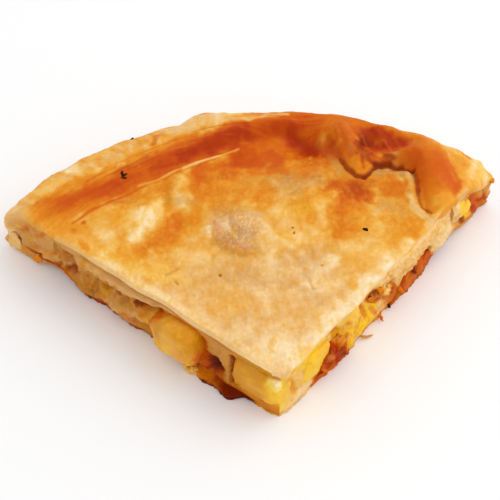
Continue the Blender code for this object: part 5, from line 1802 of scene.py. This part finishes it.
FINISHES = {
    "golden_crust": FoodFinish("golden_crust_dough", 0.48, 0.30, 0.09, 0.05, (2.2, 1.0, 0.4), 0.16, 1.6, 0.5,
                               0.08, 1.8, 0.14),
    "potato_mash": FoodFinish("mash_and_soft_dough", 0.48, 0.3, 0.14, 0.15, (2.5, 1.2, 0.4), 0.14, 2.2, 0.6,
                              0.14, 1.6, 0.25),
    "browned_crust": FoodFinish("browned_base_dough", 0.5, 0.3, 0.04, 0.0, (1.0, 0.5, 0.2), 0.35, 2.0, 0.6,
                                0.2, 1.7, 0.35),
    "potato_flesh": FoodFinish("boiled_potato", 0.42, 0.2, 0.2, 0.2, (3.0, 1.8, 0.3), 0.08, 2.0, 0.5,
                               0.12, 1.3, 0.3),
    "browned_onion": FoodFinish("fried_onion", 0.45, 0.3, 0.04, 0.0, (1.5, 0.6, 0.2), 0.35, 2.0, 0.7,
                                0.2, 1.5, 0.4),
}


@dataclass
class Studio:
    """Pale floor, soft light and the camera at the photo's viewing angle."""

    camera_place: tuple = (-0.03305, -0.26469, 0.32042)
    camera_tilt: float = 41.24
    camera_turn: float = -6.42
    lens: float = 72.0
    sky: float = 0.88
    key_power: float = 5.0
    key_place: tuple = (0.85, 0.15, 0.90)
    key_size: float = 1.2
    floor_size: float = 6.0

    def build(self) -> None:
        """Make the floor, the sky, the key light and the camera."""
        bpy.ops.mesh.primitive_plane_add(size=self.floor_size)
        floor = bpy.context.object
        floor.name = "floor"
        board = Board("pale_floor")
        board.dress({"Base Color": (0.96, 0.96, 0.96, 1.0), "Roughness": 0.9})
        floor.data.materials.append(board.material)
        world = bpy.data.worlds.new("soft_sky")
        world.use_nodes = True
        world.node_tree.nodes["Background"].inputs["Color"].default_value = (1.0, 1.0, 1.0, 1.0)
        world.node_tree.nodes["Background"].inputs["Strength"].default_value = self.sky
        bpy.context.scene.world = world
        light = bpy.data.lights.new("key", "AREA")
        light.energy = self.key_power
        light.size = self.key_size
        key = bpy.data.objects.new("key", light)
        key.location = self.key_place
        key.rotation_euler = (-Vector(self.key_place)).to_track_quat("-Z", "Y").to_euler()
        bpy.context.scene.collection.objects.link(key)
        camera = bpy.data.objects.new("camera", bpy.data.cameras.new("camera"))
        camera.data.lens = self.lens
        camera.data.sensor_width = 36.0
        camera.location = self.camera_place
        camera.rotation_euler = (math.radians(self.camera_tilt), 0.0, math.radians(self.camera_turn))
        bpy.context.scene.collection.objects.link(camera)
        bpy.context.scene.camera = camera
        bpy.context.scene.view_settings.view_transform = "Standard"


def main() -> None:
    """Build every piece in order, dress it and report it."""
    logging.basicConfig(level=logging.INFO, format="%(message)s")
    Studio().build()
    materials = {slot: finish.make() for slot, finish in FINISHES.items()}
    pieces = [TopPastry().build(), Filling().build(), BaseCrust().build()]
    pieces += [part.build() for part in CHUNKS + SCRAPS]
    for piece in pieces:
        piece.data.materials.append(materials[piece["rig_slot"]])
        triangles = sum(len(face.vertices) - 2 for face in piece.data.polygons)
        LOG.info("%s: %d triangles", piece.name, triangles)


if __name__ == "__main__":
    main()
